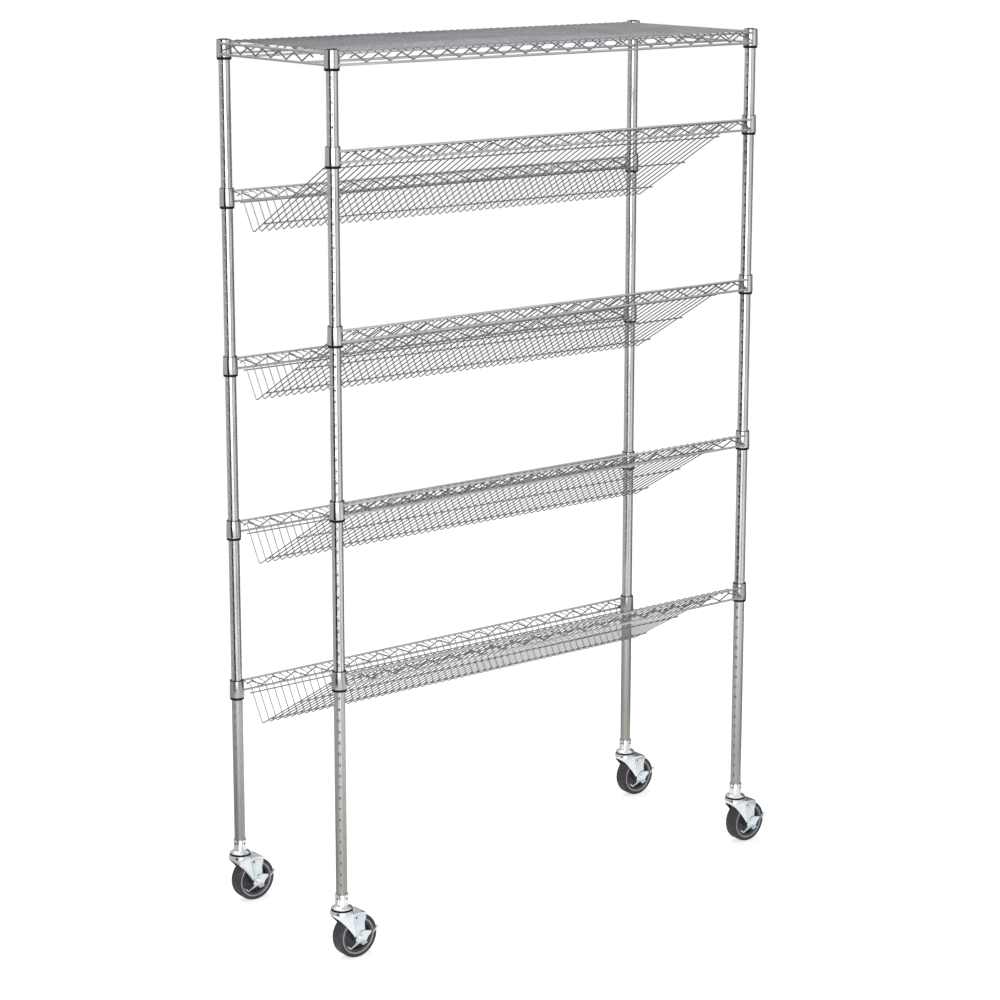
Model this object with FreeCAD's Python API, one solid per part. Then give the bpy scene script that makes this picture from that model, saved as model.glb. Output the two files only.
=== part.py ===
"""Wire bakery rack on four braked swivel casters, built as separate pieces.

Units are millimetres. The origin is on the floor, midway between the four posts.
+X runs along the shelves, +Z is up, and -Y is the loading side, where the slanted shelves are high.
Four grooved posts carry a flat top shelf and slanted shelves whose wires are bent to a right-angled V.
Each shelf hangs on four tapered collars, wedged on split sleeves that snap into grooves of the posts.
"""
import FreeCAD
import Part
import math
import os
from FreeCAD import Vector

# Posts
POST_DIAMETER = 25.4
POST_WALL = 1.6
POST_LENGTH = 1879.6
GROOVE_PITCH = 25.4
GROOVE_DEPTH = 0.6
GROOVE_MOUTH = 2.4
GROOVE_FLOOR = 1.0
CAP_HEAD_HEIGHT = 2.5
CAP_PLUG_LENGTH = 18.0
CAP_PLUG_CLEARANCE = 0.05

# Split sleeves and the shelf collars that wedge on them
SLEEVE_CLEARANCE = 0.05
SLEEVE_BASE_RADIUS = 14.7
SLEEVE_TIP_RADIUS = 13.9
SLEEVE_HEIGHT = 30.0
SLEEVE_SPLIT = 0.4
RING_RADIUS = 16.4
RING_HEIGHT = 6.0
RING_TO_GROOVE = 15.1
COLLAR_HEIGHT = 40.0
COLLAR_BASE_RADIUS = 17.3
COLLAR_TIP_RADIUS = 16.3
COLLAR_CLEARANCE = 0.05

# Shelf levels, snapped to whole grooves
SLANTED_SHELVES = 4
TOP_TO_FIRST = 203.2
SHELF_SPACING = 381.0
SHELF_FALL = 127.0

# Shelf frames: heights are above the middle of the sleeve's ring
SHELF_LENGTH = 1219.2
SHELF_DEPTH = 457.2
RAIL_DIAMETER = 5.5
RAIL_OUTSET = 14.3
RAIL_REACH = 5.0
UPPER_RAIL_HEIGHT = 33.5
LOWER_RAIL_HEIGHT = 9.5
SNAKE_DIAMETER = 3.3
SNAKE_PERIOD = 60.5
SNAKE_BEND = 6.0
SNAKE_SETBACK = 47.5
SNAKE_STUB = 12.0
SNAKE_END_DROP = 15.5

# Flat deck of the top shelf
DECK_WIRE_DIAMETER = 2.5
DECK_PITCH = 19.7
DECK_GAP_TO_COLLAR = 2.0
INNER_TRUSS_SPACING = 236.0

# Wires of the slanted shelves
V_WIRE_DIAMETER = 2.5
V_PITCH = 19.73
V_GAP_TO_COLLAR = 11.5
V_SLOPE_DEG = 30.8
V_FLANGE = 25.0
V_FLANGE_OVERHANG = 3.0
V_BEND = 6.0
STRINGER_DIAMETER = 3.2
STRINGER_OVERHANG = 6.0
SLOPE_STRINGERS = (78.0, 218.0, 356.0)
LIP_STRINGER_DROP = 20.4

# Casters: local x is the trail direction, local z is height above the floor
WHEEL_DIAMETER = 101.6
WHEEL_WIDTH = 32.0
CASTER_TRAIL = 33.0
TYRE_GAP = 3.4
TYRE_BEAD = 3.0
TYRE_SHOULDER_HEIGHT = 4.0
TYRE_SHOULDER_WIDTH = 4.8
CORE_RADIUS = 38.0
RIM_RADIUS = 32.0
RIM_WIDTH = 28.0
RIM_TAPER = 2.0
WEB_THICKNESS = 8.0
HUB_RADIUS = 13.0
HUB_TAPER = 2.0
HUB_SIDE_GAP = 0.3
SPACER_RADIUS = 6.0
BOLT_RADIUS = 4.0
BOLT_HEAD_RADIUS = 6.5
BOLT_HEAD_HEIGHT = 2.5
NUT_ACROSS_FLATS = 13.0
NUT_HEIGHT = 6.5
BOLT_PROUD = 2.0
RUNNING_CLEARANCE = 0.05
LEG_INNER_SPAN = 35.0
LEG_THICKNESS = 3.0
LEG_FOOT_RADIUS = 10.0
LEG_FOOT_START_DEG = 194.0
LEG_FRONT_DROP = 6.5
LEG_FRONT_HOLLOW = 1.7
HOOD_THICKNESS = 2.5
HOOD_ANGLE_DEG = 20.0
CROWN_RADIUS = 26.5
CROWN_UNDER_RADIUS = 21.0
CROWN_HEIGHT = 12.5
CROWN_PLATE = 3.0
SKIRT_WALL = 2.5
BEARING_INNER_RADIUS = 10.0
BEARING_OUTER_RADIUS = 18.0
SEAL_RADIUS = 24.5
SEAL_WIDTH = 3.0
SEAL_HEIGHT = 3.7
SWIVEL_GAP = 0.3
FLANGE_RADIUS = 23.5
FLANGE_EDGE = 2.0
FLANGE_RISE = 6.5
SOCKET_FLOOR = 13.5
SOCKET_RADIUS = 15.0
SOCKET_DEPTH = 20.0
SOCKET_CLEARANCE = 0.05
SOCKET_HOLE_DIAMETER = 5.0
SOCKET_HOLE_DROP = 9.0
SOCKET_HOLE_TURN_DEG = 13.5
KINGPIN_RADIUS = 6.0
RIVET_RADIUS = 9.0
RIVET_HEIGHT = 3.0
BRACKET_THICKNESS = 1.5
BRACKET_FOOT_RADIUS = 8.0
BRACKET_FOOT_ARC_DEG = (20.0, -200.0)
BRACKET_EYE_RADIUS = 5.5
BRACKET_EYE_ARC_DEG = (180.0, 80.0)
BRACKET_HOLE_RADIUS = 2.6
LEVER_THICKNESS = 2.0
LEVER_PEDAL_WIDTH = 8.0
FOOT_STEPS = 14
BEND_STEPS = 6

# Outlines of the fork leg's waist, the brake bracket and the brake lever, as (x, z) from the axle
LEG_WAIST = ((10.5, 12.0), (11.5, 34.0))
BRACKET_EYE = (-8.8, 46.8)
BRACKET_BACK = ((8.0, 52.2), (16.0, 48.7), (17.3, 45.2), (12.7, 30.9), (14.2, 11.8))
LEVER_BODY = (
    (-13.5, -6.0), (-10.5, 0.0), (-4.3, 8.0), (4.9, 12.6), (13.0, 13.0), (22.0, 10.8), (30.0, 9.4),
    (28.5, 4.5), (20.5, -3.2), (15.7, -11.5), (6.0, -13.2), (-3.0, -13.3), (-10.4, -8.4),
)
LEVER_PEDAL = ((27.0, 7.9), (45.0, 18.4), (45.9, 16.8), (27.9, 6.3))
LEVER_HEEL = ((-9.0, -7.2), (-32.1, -16.5), (-36.9, -10.8), (-38.3, -12.0), (-32.7, -18.7), (-9.8, -9.5))
LEVER_TAB = ((-0.5, -14.6), (12.0, -10.5), (12.6, -12.2), (0.1, -16.3))

# Places worked out from the sizes above
POST_RADIUS = POST_DIAMETER / 2
POST_BORE_RADIUS = POST_RADIUS - POST_WALL
RAIL_RADIUS = RAIL_DIAMETER / 2
SNAKE_RADIUS = SNAKE_DIAMETER / 2
DECK_RADIUS = DECK_WIRE_DIAMETER / 2
V_RADIUS = V_WIRE_DIAMETER / 2
STRINGER_RADIUS = STRINGER_DIAMETER / 2
RAIL_X = SHELF_LENGTH / 2 - RAIL_RADIUS
RAIL_Y = SHELF_DEPTH / 2 - RAIL_RADIUS
POST_X = RAIL_X - RAIL_OUTSET
POST_Y = RAIL_Y - RAIL_OUTSET
WHEEL_RADIUS = WHEEL_DIAMETER / 2
AXLE_HEIGHT = WHEEL_RADIUS
AXLE = (CASTER_TRAIL, AXLE_HEIGHT)
CROWN_BOTTOM = WHEEL_DIAMETER + TYRE_GAP
CROWN_TOP = CROWN_BOTTOM + CROWN_HEIGHT
FLANGE_BOTTOM = CROWN_TOP + SEAL_HEIGHT + SWIVEL_GAP
POST_FOOT = FLANGE_BOTTOM + SOCKET_FLOOR
POST_TOP = POST_FOOT + POST_LENGTH
GROOVE_COUNT = int(POST_LENGTH / GROOVE_PITCH + 0.001) - 1
LEG_INNER = LEG_INNER_SPAN / 2
LEG_OUTER = LEG_INNER + LEG_THICKNESS
LEG_FRONT = -math.sqrt(CROWN_RADIUS ** 2 - LEG_OUTER ** 2)
LEG_FRONT_LOW = CROWN_BOTTOM - LEG_FRONT_DROP
LIMITS = {"near": -1, "far": 1, "left": -1, "right": 1}
CORNERS = [(side, end) for side in ("near", "far") for end in ("left", "right")]
UP = Vector(0, 0, 1)


def ring_height(groove):
    """Height of the middle of a sleeve's ring when the sleeve sits on this groove."""
    return POST_FOOT + groove * GROOVE_PITCH - RING_TO_GROOVE


def grooves_in(length):
    """Whole number of grooves nearest to a length."""
    return round(length / GROOVE_PITCH)


def shelf_grooves():
    """(near, far) groove of every shelf, top shelf first."""
    levels = [(GROOVE_COUNT, GROOVE_COUNT)]
    for index in range(SLANTED_SHELVES):
        near = GROOVE_COUNT - grooves_in(TOP_TO_FIRST) - index * grooves_in(SHELF_SPACING)
        levels.append((near, near - grooves_in(SHELF_FALL)))
    return levels


def post_places():
    """Post axes as (x, y), near side first, left before right."""
    return [(LIMITS[end] * POST_X, LIMITS[side] * POST_Y) for side, end in CORNERS]


# Shape helpers

def face_of(points, to_world):
    """Flat face through local two-dimensional points."""
    corners = [to_world(a, b) for a, b in points]
    return Part.Face(Part.makePolygon(corners + [corners[0]]))


def turned(profile):
    """Solid of revolution about the Z axis from (radius, height) points."""
    face = face_of(profile, lambda r, z: Vector(r, 0, z))
    return face.revolve(Vector(0, 0, 0), UP, 360)


def ring(inner, outer, bottom, height):
    """Upright tube about the Z axis."""
    tube = Part.makeCylinder(outer, height, Vector(0, 0, bottom))
    return tube.cut(Part.makeCylinder(inner, height, Vector(0, 0, bottom)))


def cross_tube(inner, outer, start, end):
    """Tube along Y about the wheel axle, from start to end."""
    base = Vector(CASTER_TRAIL, start, AXLE_HEIGHT)
    tube = Part.makeCylinder(outer, end - start, base, Vector(0, 1, 0))
    if inner > 0:
        tube = tube.cut(Part.makeCylinder(inner, end - start, base, Vector(0, 1, 0)))
    return tube


def plate(points, start, end):
    """Flat plate in the wheel's plane, from (x, z) points, between two y values."""
    face = face_of(points, lambda x, z: Vector(x, start, z))
    return face.extrude(Vector(0, end - start, 0))


def arc_points(centre, radius, first_deg, last_deg, steps):
    """Points on an arc, angles measured from local x towards local z."""
    points = []
    for index in range(steps + 1):
        angle = math.radians(first_deg + (last_deg - first_deg) * index / steps)
        points.append((centre[0] + radius * math.cos(angle), centre[1] + radius * math.sin(angle)))
    return points


def around_axle(points):
    """Points given from the axle, in the caster's own x and z."""
    return [(CASTER_TRAIL + x, AXLE_HEIGHT + z) for x, z in points]


def bent_path(corners, bend):
    """Wire through the corners: straight runs joined by tangent arcs."""
    edges = []

    def run(start, end):
        if (end - start).Length > 0.001:
            edges.append(Part.LineSegment(start, end).toShape())

    last = corners[0]
    for before, corner, after in zip(corners, corners[1:], corners[2:]):
        into = (corner - before).normalize()
        out = (after - corner).normalize()
        half_turn = into.getAngle(out) / 2
        setback = bend * math.tan(half_turn)
        start = corner - into * setback
        end = corner + out * setback
        towards_centre = (out - into).normalize()
        depth = bend / math.cos(half_turn) - bend
        run(last, start)
        edges.append(Part.Arc(start, corner + towards_centre * depth, end).toShape())
        last = end
    run(last, corners[-1])
    return Part.Wire(edges)


def bent_wire(corners, radius, bend):
    """Round wire swept along a bent path."""
    section = Part.Wire(Part.makeCircle(radius, corners[0], corners[1] - corners[0]))
    return bent_path(corners, bend).makePipeShell([section], True, False)


def straight_wire(start, end, radius):
    """Round wire between two points."""
    return Part.makeCylinder(radius, (end - start).Length, start, end - start)


def copies(shape, offsets):
    """Separate moved copies of one solid."""
    moved = []
    for offset in offsets:
        piece = shape.copy()
        piece.translate(offset)
        moved.append(piece)
    return moved


# Posts, caps and sleeves

def post():
    """Grooved tube, standing with its foot at the height of the caster sockets' floors."""
    mouth = GROOVE_MOUTH / 2
    floor = GROOVE_FLOOR / 2
    outline = [(POST_BORE_RADIUS, 0), (POST_RADIUS, 0)]
    for groove in range(1, GROOVE_COUNT + 1):
        middle = groove * GROOVE_PITCH
        outline.append((POST_RADIUS, middle - mouth))
        outline.append((POST_RADIUS - GROOVE_DEPTH, middle - floor))
        outline.append((POST_RADIUS - GROOVE_DEPTH, middle + floor))
        outline.append((POST_RADIUS, middle + mouth))
    outline.append((POST_RADIUS, POST_LENGTH))
    outline.append((POST_BORE_RADIUS, POST_LENGTH))
    tube = turned(outline)
    tube.translate(Vector(0, 0, POST_FOOT))
    return tube


def post_cap():
    """Low round cap with a plug that fills the top of the post's bore."""
    plug = POST_BORE_RADIUS - CAP_PLUG_CLEARANCE
    cap = turned([
        (0, -CAP_PLUG_LENGTH),
        (plug, -CAP_PLUG_LENGTH),
        (plug, 0),
        (POST_RADIUS, 0),
        (POST_RADIUS, CAP_HEAD_HEIGHT / 2),
        (POST_RADIUS - CAP_HEAD_HEIGHT / 2, CAP_HEAD_HEIGHT),
        (0, CAP_HEAD_HEIGHT),
    ])
    cap.translate(Vector(0, 0, POST_TOP))
    return cap


def sleeve_halves():
    """Two half shells: ring at the foot, taper above it, and an inner rib in the post's groove."""
    bore = POST_RADIUS + SLEEVE_CLEARANCE
    rib = POST_RADIUS - GROOVE_DEPTH + SLEEVE_CLEARANCE
    rib_mouth = GROOVE_MOUTH / 2 - SLEEVE_CLEARANCE
    rib_tip = GROOVE_FLOOR / 2 - SLEEVE_CLEARANCE
    ring_half = RING_HEIGHT / 2
    sleeve = turned([
        (bore, -ring_half),
        (RING_RADIUS, -ring_half),
        (RING_RADIUS, ring_half),
        (SLEEVE_BASE_RADIUS, ring_half),
        (SLEEVE_TIP_RADIUS, ring_half + SLEEVE_HEIGHT),
        (bore, ring_half + SLEEVE_HEIGHT),
        (bore, RING_TO_GROOVE + rib_mouth),
        (rib, RING_TO_GROOVE + rib_tip),
        (rib, RING_TO_GROOVE - rib_tip),
        (bore, RING_TO_GROOVE - rib_mouth),
    ])
    wide = 2 * RING_RADIUS
    slot = Part.makeBox(SLEEVE_SPLIT, wide, 2 * SLEEVE_HEIGHT)
    slot.translate(Vector(-SLEEVE_SPLIT / 2, -RING_RADIUS, -SLEEVE_HEIGHT / 2))
    return sleeve.cut(slot).Solids


def sleeve_taper(height):
    """Radius of the sleeve's taper at a height above the ring's middle."""
    share = (height - RING_HEIGHT / 2) / SLEEVE_HEIGHT
    return SLEEVE_BASE_RADIUS + (SLEEVE_TIP_RADIUS - SLEEVE_BASE_RADIUS) * share


def collar_outside():
    """Outer cone of a shelf collar, also used to trim the wires welded to it."""
    return Part.makeCone(COLLAR_BASE_RADIUS, COLLAR_TIP_RADIUS, COLLAR_HEIGHT, Vector(0, 0, RING_HEIGHT / 2))


def collar():
    """Tapered shelf collar, seated on the sleeve's ring."""
    low = RING_HEIGHT / 2
    high = low + COLLAR_HEIGHT
    bore_low = sleeve_taper(low) + COLLAR_CLEARANCE
    bore_high = sleeve_taper(high) + COLLAR_CLEARANCE
    bore = Part.makeCone(bore_low, bore_high, COLLAR_HEIGHT, Vector(0, 0, low))
    return collar_outside().cut(bore)


def at_posts(solids, near_height, far_height):
    """Copies of the solids on all four posts, at the ring heights of the near and far side."""
    placed = []
    for x, y in post_places():
        height = near_height if y < 0 else far_height
        for solid in solids:
            placed += copies(solid, [Vector(x, y, height)])
    return placed


# Trusses: two round rails with a zigzag wire between them

def along_x(y, height):
    """Maps a run and a height above the ring to a truss along X."""
    return lambda run, above: Vector(run, y, height + above)


def along_y(x, height):
    """Maps a run and a height above the ring to a truss along Y."""
    return lambda run, above: Vector(x, run, height + above)


def corner_rise(slope_in, slope_out):
    """How far a sharp corner stands beyond the crest of its bend."""
    return SNAKE_BEND * (math.cos((slope_in - slope_out) / 2) / math.cos((slope_in + slope_out) / 2) - 1)


def snake_corners(half_run, end_run, crest, trough):
    """(run, height) corners of the zigzag, whose bends just reach the crest and trough heights.

    It starts with a short free stub, and ends at end_run, or with a second stub if that is None.
    """
    slope = 0.0
    for _ in range(12):
        rise = corner_rise(slope, slope)
        slope = math.atan2(crest - trough + 2 * rise, SNAKE_PERIOD / 2)
    periods = int(2 * (half_run - SNAKE_SETBACK) / SNAKE_PERIOD)
    half = periods * SNAKE_PERIOD / 2
    stub_height = crest + rise - SNAKE_STUB * math.tan(slope)
    corners = [(-half - SNAKE_STUB, stub_height)]
    for index in range(2 * periods + 1):
        run = -half + index * SNAKE_PERIOD / 2
        corners.append((run, crest + rise if index % 2 == 0 else trough - rise))
    if end_run is None:
        corners.append((half + SNAKE_STUB, stub_height))
        return corners
    end_slope = math.atan2(SNAKE_END_DROP, end_run - half)
    corners[-1] = (half, crest + corner_rise(slope, end_slope))
    corners.append((end_run, crest - SNAKE_END_DROP))
    return corners


def truss(place, half_run, rail_end, snake_end, wires_under_rail):
    """Upper rail, lower rail and zigzag; wires_under_rail is room left below the upper rail."""
    pieces = []
    for above in (UPPER_RAIL_HEIGHT, LOWER_RAIL_HEIGHT):
        pieces.append(straight_wire(place(-rail_end, above), place(rail_end, above), RAIL_RADIUS))
    crest = UPPER_RAIL_HEIGHT - RAIL_RADIUS - wires_under_rail - SNAKE_RADIUS
    trough = LOWER_RAIL_HEIGHT + RAIL_RADIUS + SNAKE_RADIUS
    corners = [place(run, above) for run, above in snake_corners(half_run, snake_end, crest, trough)]
    pieces.append(bent_wire(corners, SNAKE_RADIUS, SNAKE_BEND))
    return pieces


def trimmed(pieces, tools):
    """The pieces cut to the outside of the solids that their ends are welded to."""
    cut = []
    for piece in pieces:
        box = piece.BoundBox
        near = [tool for tool in tools if box.intersect(tool.BoundBox)]
        cut.append(piece.cut(near).Solids[0] if near else piece)
    return cut


def long_truss(side, height, wires_under_rail):
    """Truss along X on the outer flank of the near or far collars."""
    y = LIMITS[side] * RAIL_Y
    end = POST_X - RAIL_REACH
    pieces = truss(along_x(y, height), POST_X, end, end, wires_under_rail)
    collars = copies(collar_outside(), [Vector(sign * POST_X, LIMITS[side] * POST_Y, height) for sign in (-1, 1)])
    return trimmed(pieces, collars)


def end_truss(end, height):
    """Truss along Y on the outer flank of the left or right collars."""
    x = LIMITS[end] * RAIL_X
    reach = POST_Y - RAIL_REACH
    pieces = truss(along_y(x, height), POST_Y, reach, reach, 0)
    collars = copies(collar_outside(), [Vector(LIMITS[end] * POST_X, sign * POST_Y, height) for sign in (-1, 1)])
    return trimmed(pieces, collars)


def inner_truss(y, height):
    """Truss along X under the deck, saddled on the rails of the end trusses."""
    pieces = truss(along_x(y, height), POST_X, RAIL_X, None, 0)
    saddles = []
    for sign in (-1, 1):
        for above in (UPPER_RAIL_HEIGHT, LOWER_RAIL_HEIGHT):
            place = along_y(sign * RAIL_X, height)
            saddles.append(straight_wire(place(-POST_Y, above), place(POST_Y, above), RAIL_RADIUS))
    return trimmed(pieces, saddles)


def spread(count, pitch):
    """Offsets of evenly spaced pieces, centred on zero."""
    return [(index - (count - 1) / 2) * pitch for index in range(count)]


def wires_between_collars(pitch, gap, radius):
    """Places along X of the wires that fit between the collars with a gap at each end."""
    reach = POST_X - COLLAR_BASE_RADIUS - gap - radius
    return spread(int(2 * reach / pitch) + 1, pitch)


def deck_wires(height):
    """Wires across the top shelf, lying on the rails and bent a quarter turn round the outer ones."""
    level = height + UPPER_RAIL_HEIGHT
    over = RAIL_RADIUS + DECK_RADIUS
    corners = [
        Vector(0, -RAIL_Y - over, level),
        Vector(0, -RAIL_Y - over, level + over),
        Vector(0, RAIL_Y + over, level + over),
        Vector(0, RAIL_Y + over, level),
    ]
    wire = bent_wire(corners, DECK_RADIUS, over)
    places = wires_between_collars(DECK_PITCH, DECK_GAP_TO_COLLAR, DECK_RADIUS)
    return copies(wire, [Vector(x, 0, 0) for x in places])


# Slanted shelves

def v_frame(near_height, far_height):
    """Corner points of the V in the YZ plane, and the directions of its slope and its lip."""
    under = UPPER_RAIL_HEIGHT - RAIL_RADIUS - V_RADIUS
    near = Vector(0, -RAIL_Y + V_FLANGE, near_height + under)
    far = Vector(0, RAIL_Y - V_FLANGE, far_height + under)
    angle = math.radians(V_SLOPE_DEG)
    slope = Vector(0, math.cos(angle), -math.sin(angle))
    lip = Vector(0, math.sin(angle), math.cos(angle))
    vertex = near + slope * (far - near).dot(slope)
    return near, vertex, far, slope, lip


def v_wires(near_height, far_height):
    """Wires bent to a V: flange under the near rail, long slope, right angle, lip, far flange."""
    near, vertex, far, _, _ = v_frame(near_height, far_height)
    flange = Vector(0, V_FLANGE + V_FLANGE_OVERHANG, 0)
    wire = bent_wire([near - flange, near, vertex, far, far + flange], V_RADIUS, V_BEND)
    places = wires_between_collars(V_PITCH, V_GAP_TO_COLLAR, V_RADIUS)
    return copies(wire, [Vector(x, 0, 0) for x in places])


def stringers(near_height, far_height):
    """Long wires along X that tie the V wires together from beneath and behind."""
    near, _, far, slope, lip = v_frame(near_height, far_height)
    below = V_RADIUS + STRINGER_RADIUS
    centres = [near + slope * distance - lip * below for distance in SLOPE_STRINGERS]
    centres.append(far - lip * LIP_STRINGER_DROP + slope * below)
    last_wire = wires_between_collars(V_PITCH, V_GAP_TO_COLLAR, V_RADIUS)[-1]
    half = Vector(last_wire + STRINGER_OVERHANG, 0, 0)
    return [straight_wire(centre - half, centre + half, STRINGER_RADIUS) for centre in centres]


# Casters, modelled about a post axis at the origin

def socket():
    """Cup that holds the post's foot, with the upper race flange and the kingpin below it."""
    top = POST_FOOT + SOCKET_DEPTH
    body = turned([
        (0, CROWN_BOTTOM - RIVET_HEIGHT),
        (KINGPIN_RADIUS, CROWN_BOTTOM - RIVET_HEIGHT),
        (KINGPIN_RADIUS, FLANGE_BOTTOM),
        (FLANGE_RADIUS, FLANGE_BOTTOM),
        (FLANGE_RADIUS, FLANGE_BOTTOM + FLANGE_EDGE),
        (SOCKET_RADIUS, FLANGE_BOTTOM + FLANGE_RISE),
        (SOCKET_RADIUS, top),
        (POST_RADIUS + SOCKET_CLEARANCE, top),
        (POST_RADIUS + SOCKET_CLEARANCE, POST_FOOT),
        (0, POST_FOOT),
    ])
    for quarter in range(4):
        angle = math.radians(SOCKET_HOLE_TURN_DEG + 90 * quarter)
        outward = Vector(math.cos(angle), math.sin(angle), 0)
        start = outward * (POST_RADIUS / 2)
        start.z = top - SOCKET_HOLE_DROP
        body = body.cut(Part.makeCylinder(SOCKET_HOLE_DIAMETER / 2, SOCKET_RADIUS, start, outward))
    rivet = ring(KINGPIN_RADIUS, RIVET_RADIUS, CROWN_BOTTOM - SWIVEL_GAP - RIVET_HEIGHT, RIVET_HEIGHT)
    return [body, rivet]


def swivel_seal():
    """Dust seal on the crown, around the swivel bearing."""
    return [ring(SEAL_RADIUS - SEAL_WIDTH, SEAL_RADIUS, CROWN_TOP, SEAL_HEIGHT)]


def leg_outline():
    """(x, z) outline of a fork leg: hollow front edge, round foot about the axle, waist, arched hood."""
    knee = (LEG_FRONT, LEG_FRONT_LOW)
    foot = arc_points(AXLE, LEG_FOOT_RADIUS, LEG_FOOT_START_DEG, 360, FOOT_STEPS)
    across = foot[0][0] - knee[0]
    down = foot[0][1] - knee[1]
    length = math.hypot(across, down)
    sweep = []
    for share in (0.25, 0.5, 0.75):
        hollow = 4 * LEG_FRONT_HOLLOW * share * (1 - share) / length
        sweep.append((knee[0] + across * share - down * hollow, knee[1] + down * share + across * hollow))
    hood_radius = WHEEL_RADIUS + TYRE_GAP + HOOD_THICKNESS
    hood = arc_points(AXLE, hood_radius, 90 - HOOD_ANGLE_DEG, 90, BEND_STEPS)
    return [(LEG_FRONT, hood[-1][1]), knee] + sweep + foot + around_axle(LEG_WAIST) + hood


def crown_skirt():
    """Curved wall round the front of the crown, whose lower edge rises from the legs to the crown's rim."""
    high = CROWN_BOTTOM + CROWN_PLATE
    wall = ring(CROWN_RADIUS - SKIRT_WALL, CROWN_RADIUS, LEG_FRONT_LOW, high - LEG_FRONT_LOW)
    back = LEG_FRONT + LEG_THICKNESS
    side = [(-CROWN_RADIUS, high), (LEG_FRONT, LEG_FRONT_LOW), (back, LEG_FRONT_LOW), (back, high)]
    return wall.common(plate(side, -CROWN_RADIUS, CROWN_RADIUS))


def eye_hole(start, end):
    """Drill for the spring pin's hole in the bracket's eye and the leg behind it."""
    x, z = around_axle([BRACKET_EYE])[0]
    return Part.makeCylinder(BRACKET_HOLE_RADIUS, end - start, Vector(x, start, z), Vector(0, 1, 0))


def fork():
    """Pressed fork: race crown with its skirt, two legs and the hood over the wheel, with its thrust bearing."""
    inner = WHEEL_RADIUS + TYRE_GAP
    legs = [plate(leg_outline(), side * LEG_INNER, side * LEG_OUTER) for side in (-1, 1)]
    arch = arc_points(AXLE, inner + HOOD_THICKNESS, 90 - HOOD_ANGLE_DEG, 90, BEND_STEPS)
    arch += [(0, CROWN_BOTTOM + HOOD_THICKNESS), (0, CROWN_BOTTOM)]
    arch += arc_points(AXLE, inner, 90, 90 - HOOD_ANGLE_DEG, BEND_STEPS)
    hood = plate(arch, -LEG_INNER, LEG_INNER)
    crown = turned([
        (KINGPIN_RADIUS + RUNNING_CLEARANCE, CROWN_BOTTOM),
        (CROWN_UNDER_RADIUS, CROWN_BOTTOM),
        (CROWN_RADIUS, CROWN_BOTTOM + CROWN_PLATE),
        (CROWN_RADIUS, CROWN_TOP - CROWN_PLATE),
        (SEAL_RADIUS, CROWN_TOP),
        (KINGPIN_RADIUS + RUNNING_CLEARANCE, CROWN_TOP),
    ])
    bore = Part.makeCylinder(KINGPIN_RADIUS + RUNNING_CLEARANCE, CROWN_HEIGHT, Vector(0, 0, CROWN_BOTTOM))
    body = crown.fuse(legs + [hood, crown_skirt()]).cut(bore).removeSplitter()
    body = body.cut(cross_tube(0, BOLT_RADIUS + RUNNING_CLEARANCE, -LEG_OUTER, LEG_OUTER))
    body = body.cut(eye_hole(-LEG_OUTER, -LEG_INNER))
    bearing = ring(BEARING_INNER_RADIUS, BEARING_OUTER_RADIUS, CROWN_TOP, SEAL_HEIGHT)
    return [body.Solids[0], bearing, brake_bracket()]


def brake_bracket():
    """Flat bracket on the outside of the brake-side leg, with an eye at its top."""
    outline = arc_points(around_axle([BRACKET_EYE])[0], BRACKET_EYE_RADIUS, *BRACKET_EYE_ARC_DEG, BEND_STEPS)
    outline += around_axle(BRACKET_BACK)
    outline += arc_points(AXLE, BRACKET_FOOT_RADIUS, *BRACKET_FOOT_ARC_DEG, FOOT_STEPS)
    start = -LEG_OUTER - BRACKET_THICKNESS
    bracket = plate(outline, start, -LEG_OUTER).cut(eye_hole(start, -LEG_OUTER))
    return bracket.cut(cross_tube(0, BOLT_RADIUS + RUNNING_CLEARANCE, start, -LEG_OUTER))


def lever_face():
    """y of the lever's outer face, next to the bolt's head."""
    return -LEG_OUTER - BRACKET_THICKNESS - SWIVEL_GAP - LEVER_THICKNESS


def axle_bolt():
    """Bolt through the fork with its nut, and the spacer tube that the wheel turns on."""
    head_face = lever_face() - SWIVEL_GAP
    shank_end = LEG_OUTER + NUT_HEIGHT + BOLT_PROUD
    bolt = cross_tube(0, BOLT_RADIUS, head_face, shank_end)
    bolt = bolt.fuse(cross_tube(0, BOLT_HEAD_RADIUS, head_face - BOLT_HEAD_HEIGHT, head_face)).removeSplitter()
    corner = NUT_ACROSS_FLATS / math.sqrt(3)
    hexagon = arc_points(AXLE, corner, 0, 300, 5)
    nut = plate(hexagon, LEG_OUTER, LEG_OUTER + NUT_HEIGHT)
    nut = nut.cut(cross_tube(0, BOLT_RADIUS, LEG_OUTER, LEG_OUTER + NUT_HEIGHT))
    spacer = cross_tube(BOLT_RADIUS, SPACER_RADIUS, -LEG_INNER, LEG_INNER)
    return [bolt, nut, spacer]


def wheel_turned(profile):
    """Solid of revolution about the wheel axle from (radius, y) points."""
    face = face_of(profile, lambda r, y: Vector(CASTER_TRAIL, y, AXLE_HEIGHT + r))
    return face.revolve(Vector(CASTER_TRAIL, 0, AXLE_HEIGHT), Vector(0, 1, 0), 360)


def mirrored(half_profile):
    """Full (radius, y) profile from its half on the +Y side, listed from the inside out."""
    return half_profile + [(r, -y) for r, y in reversed(half_profile)]


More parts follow.
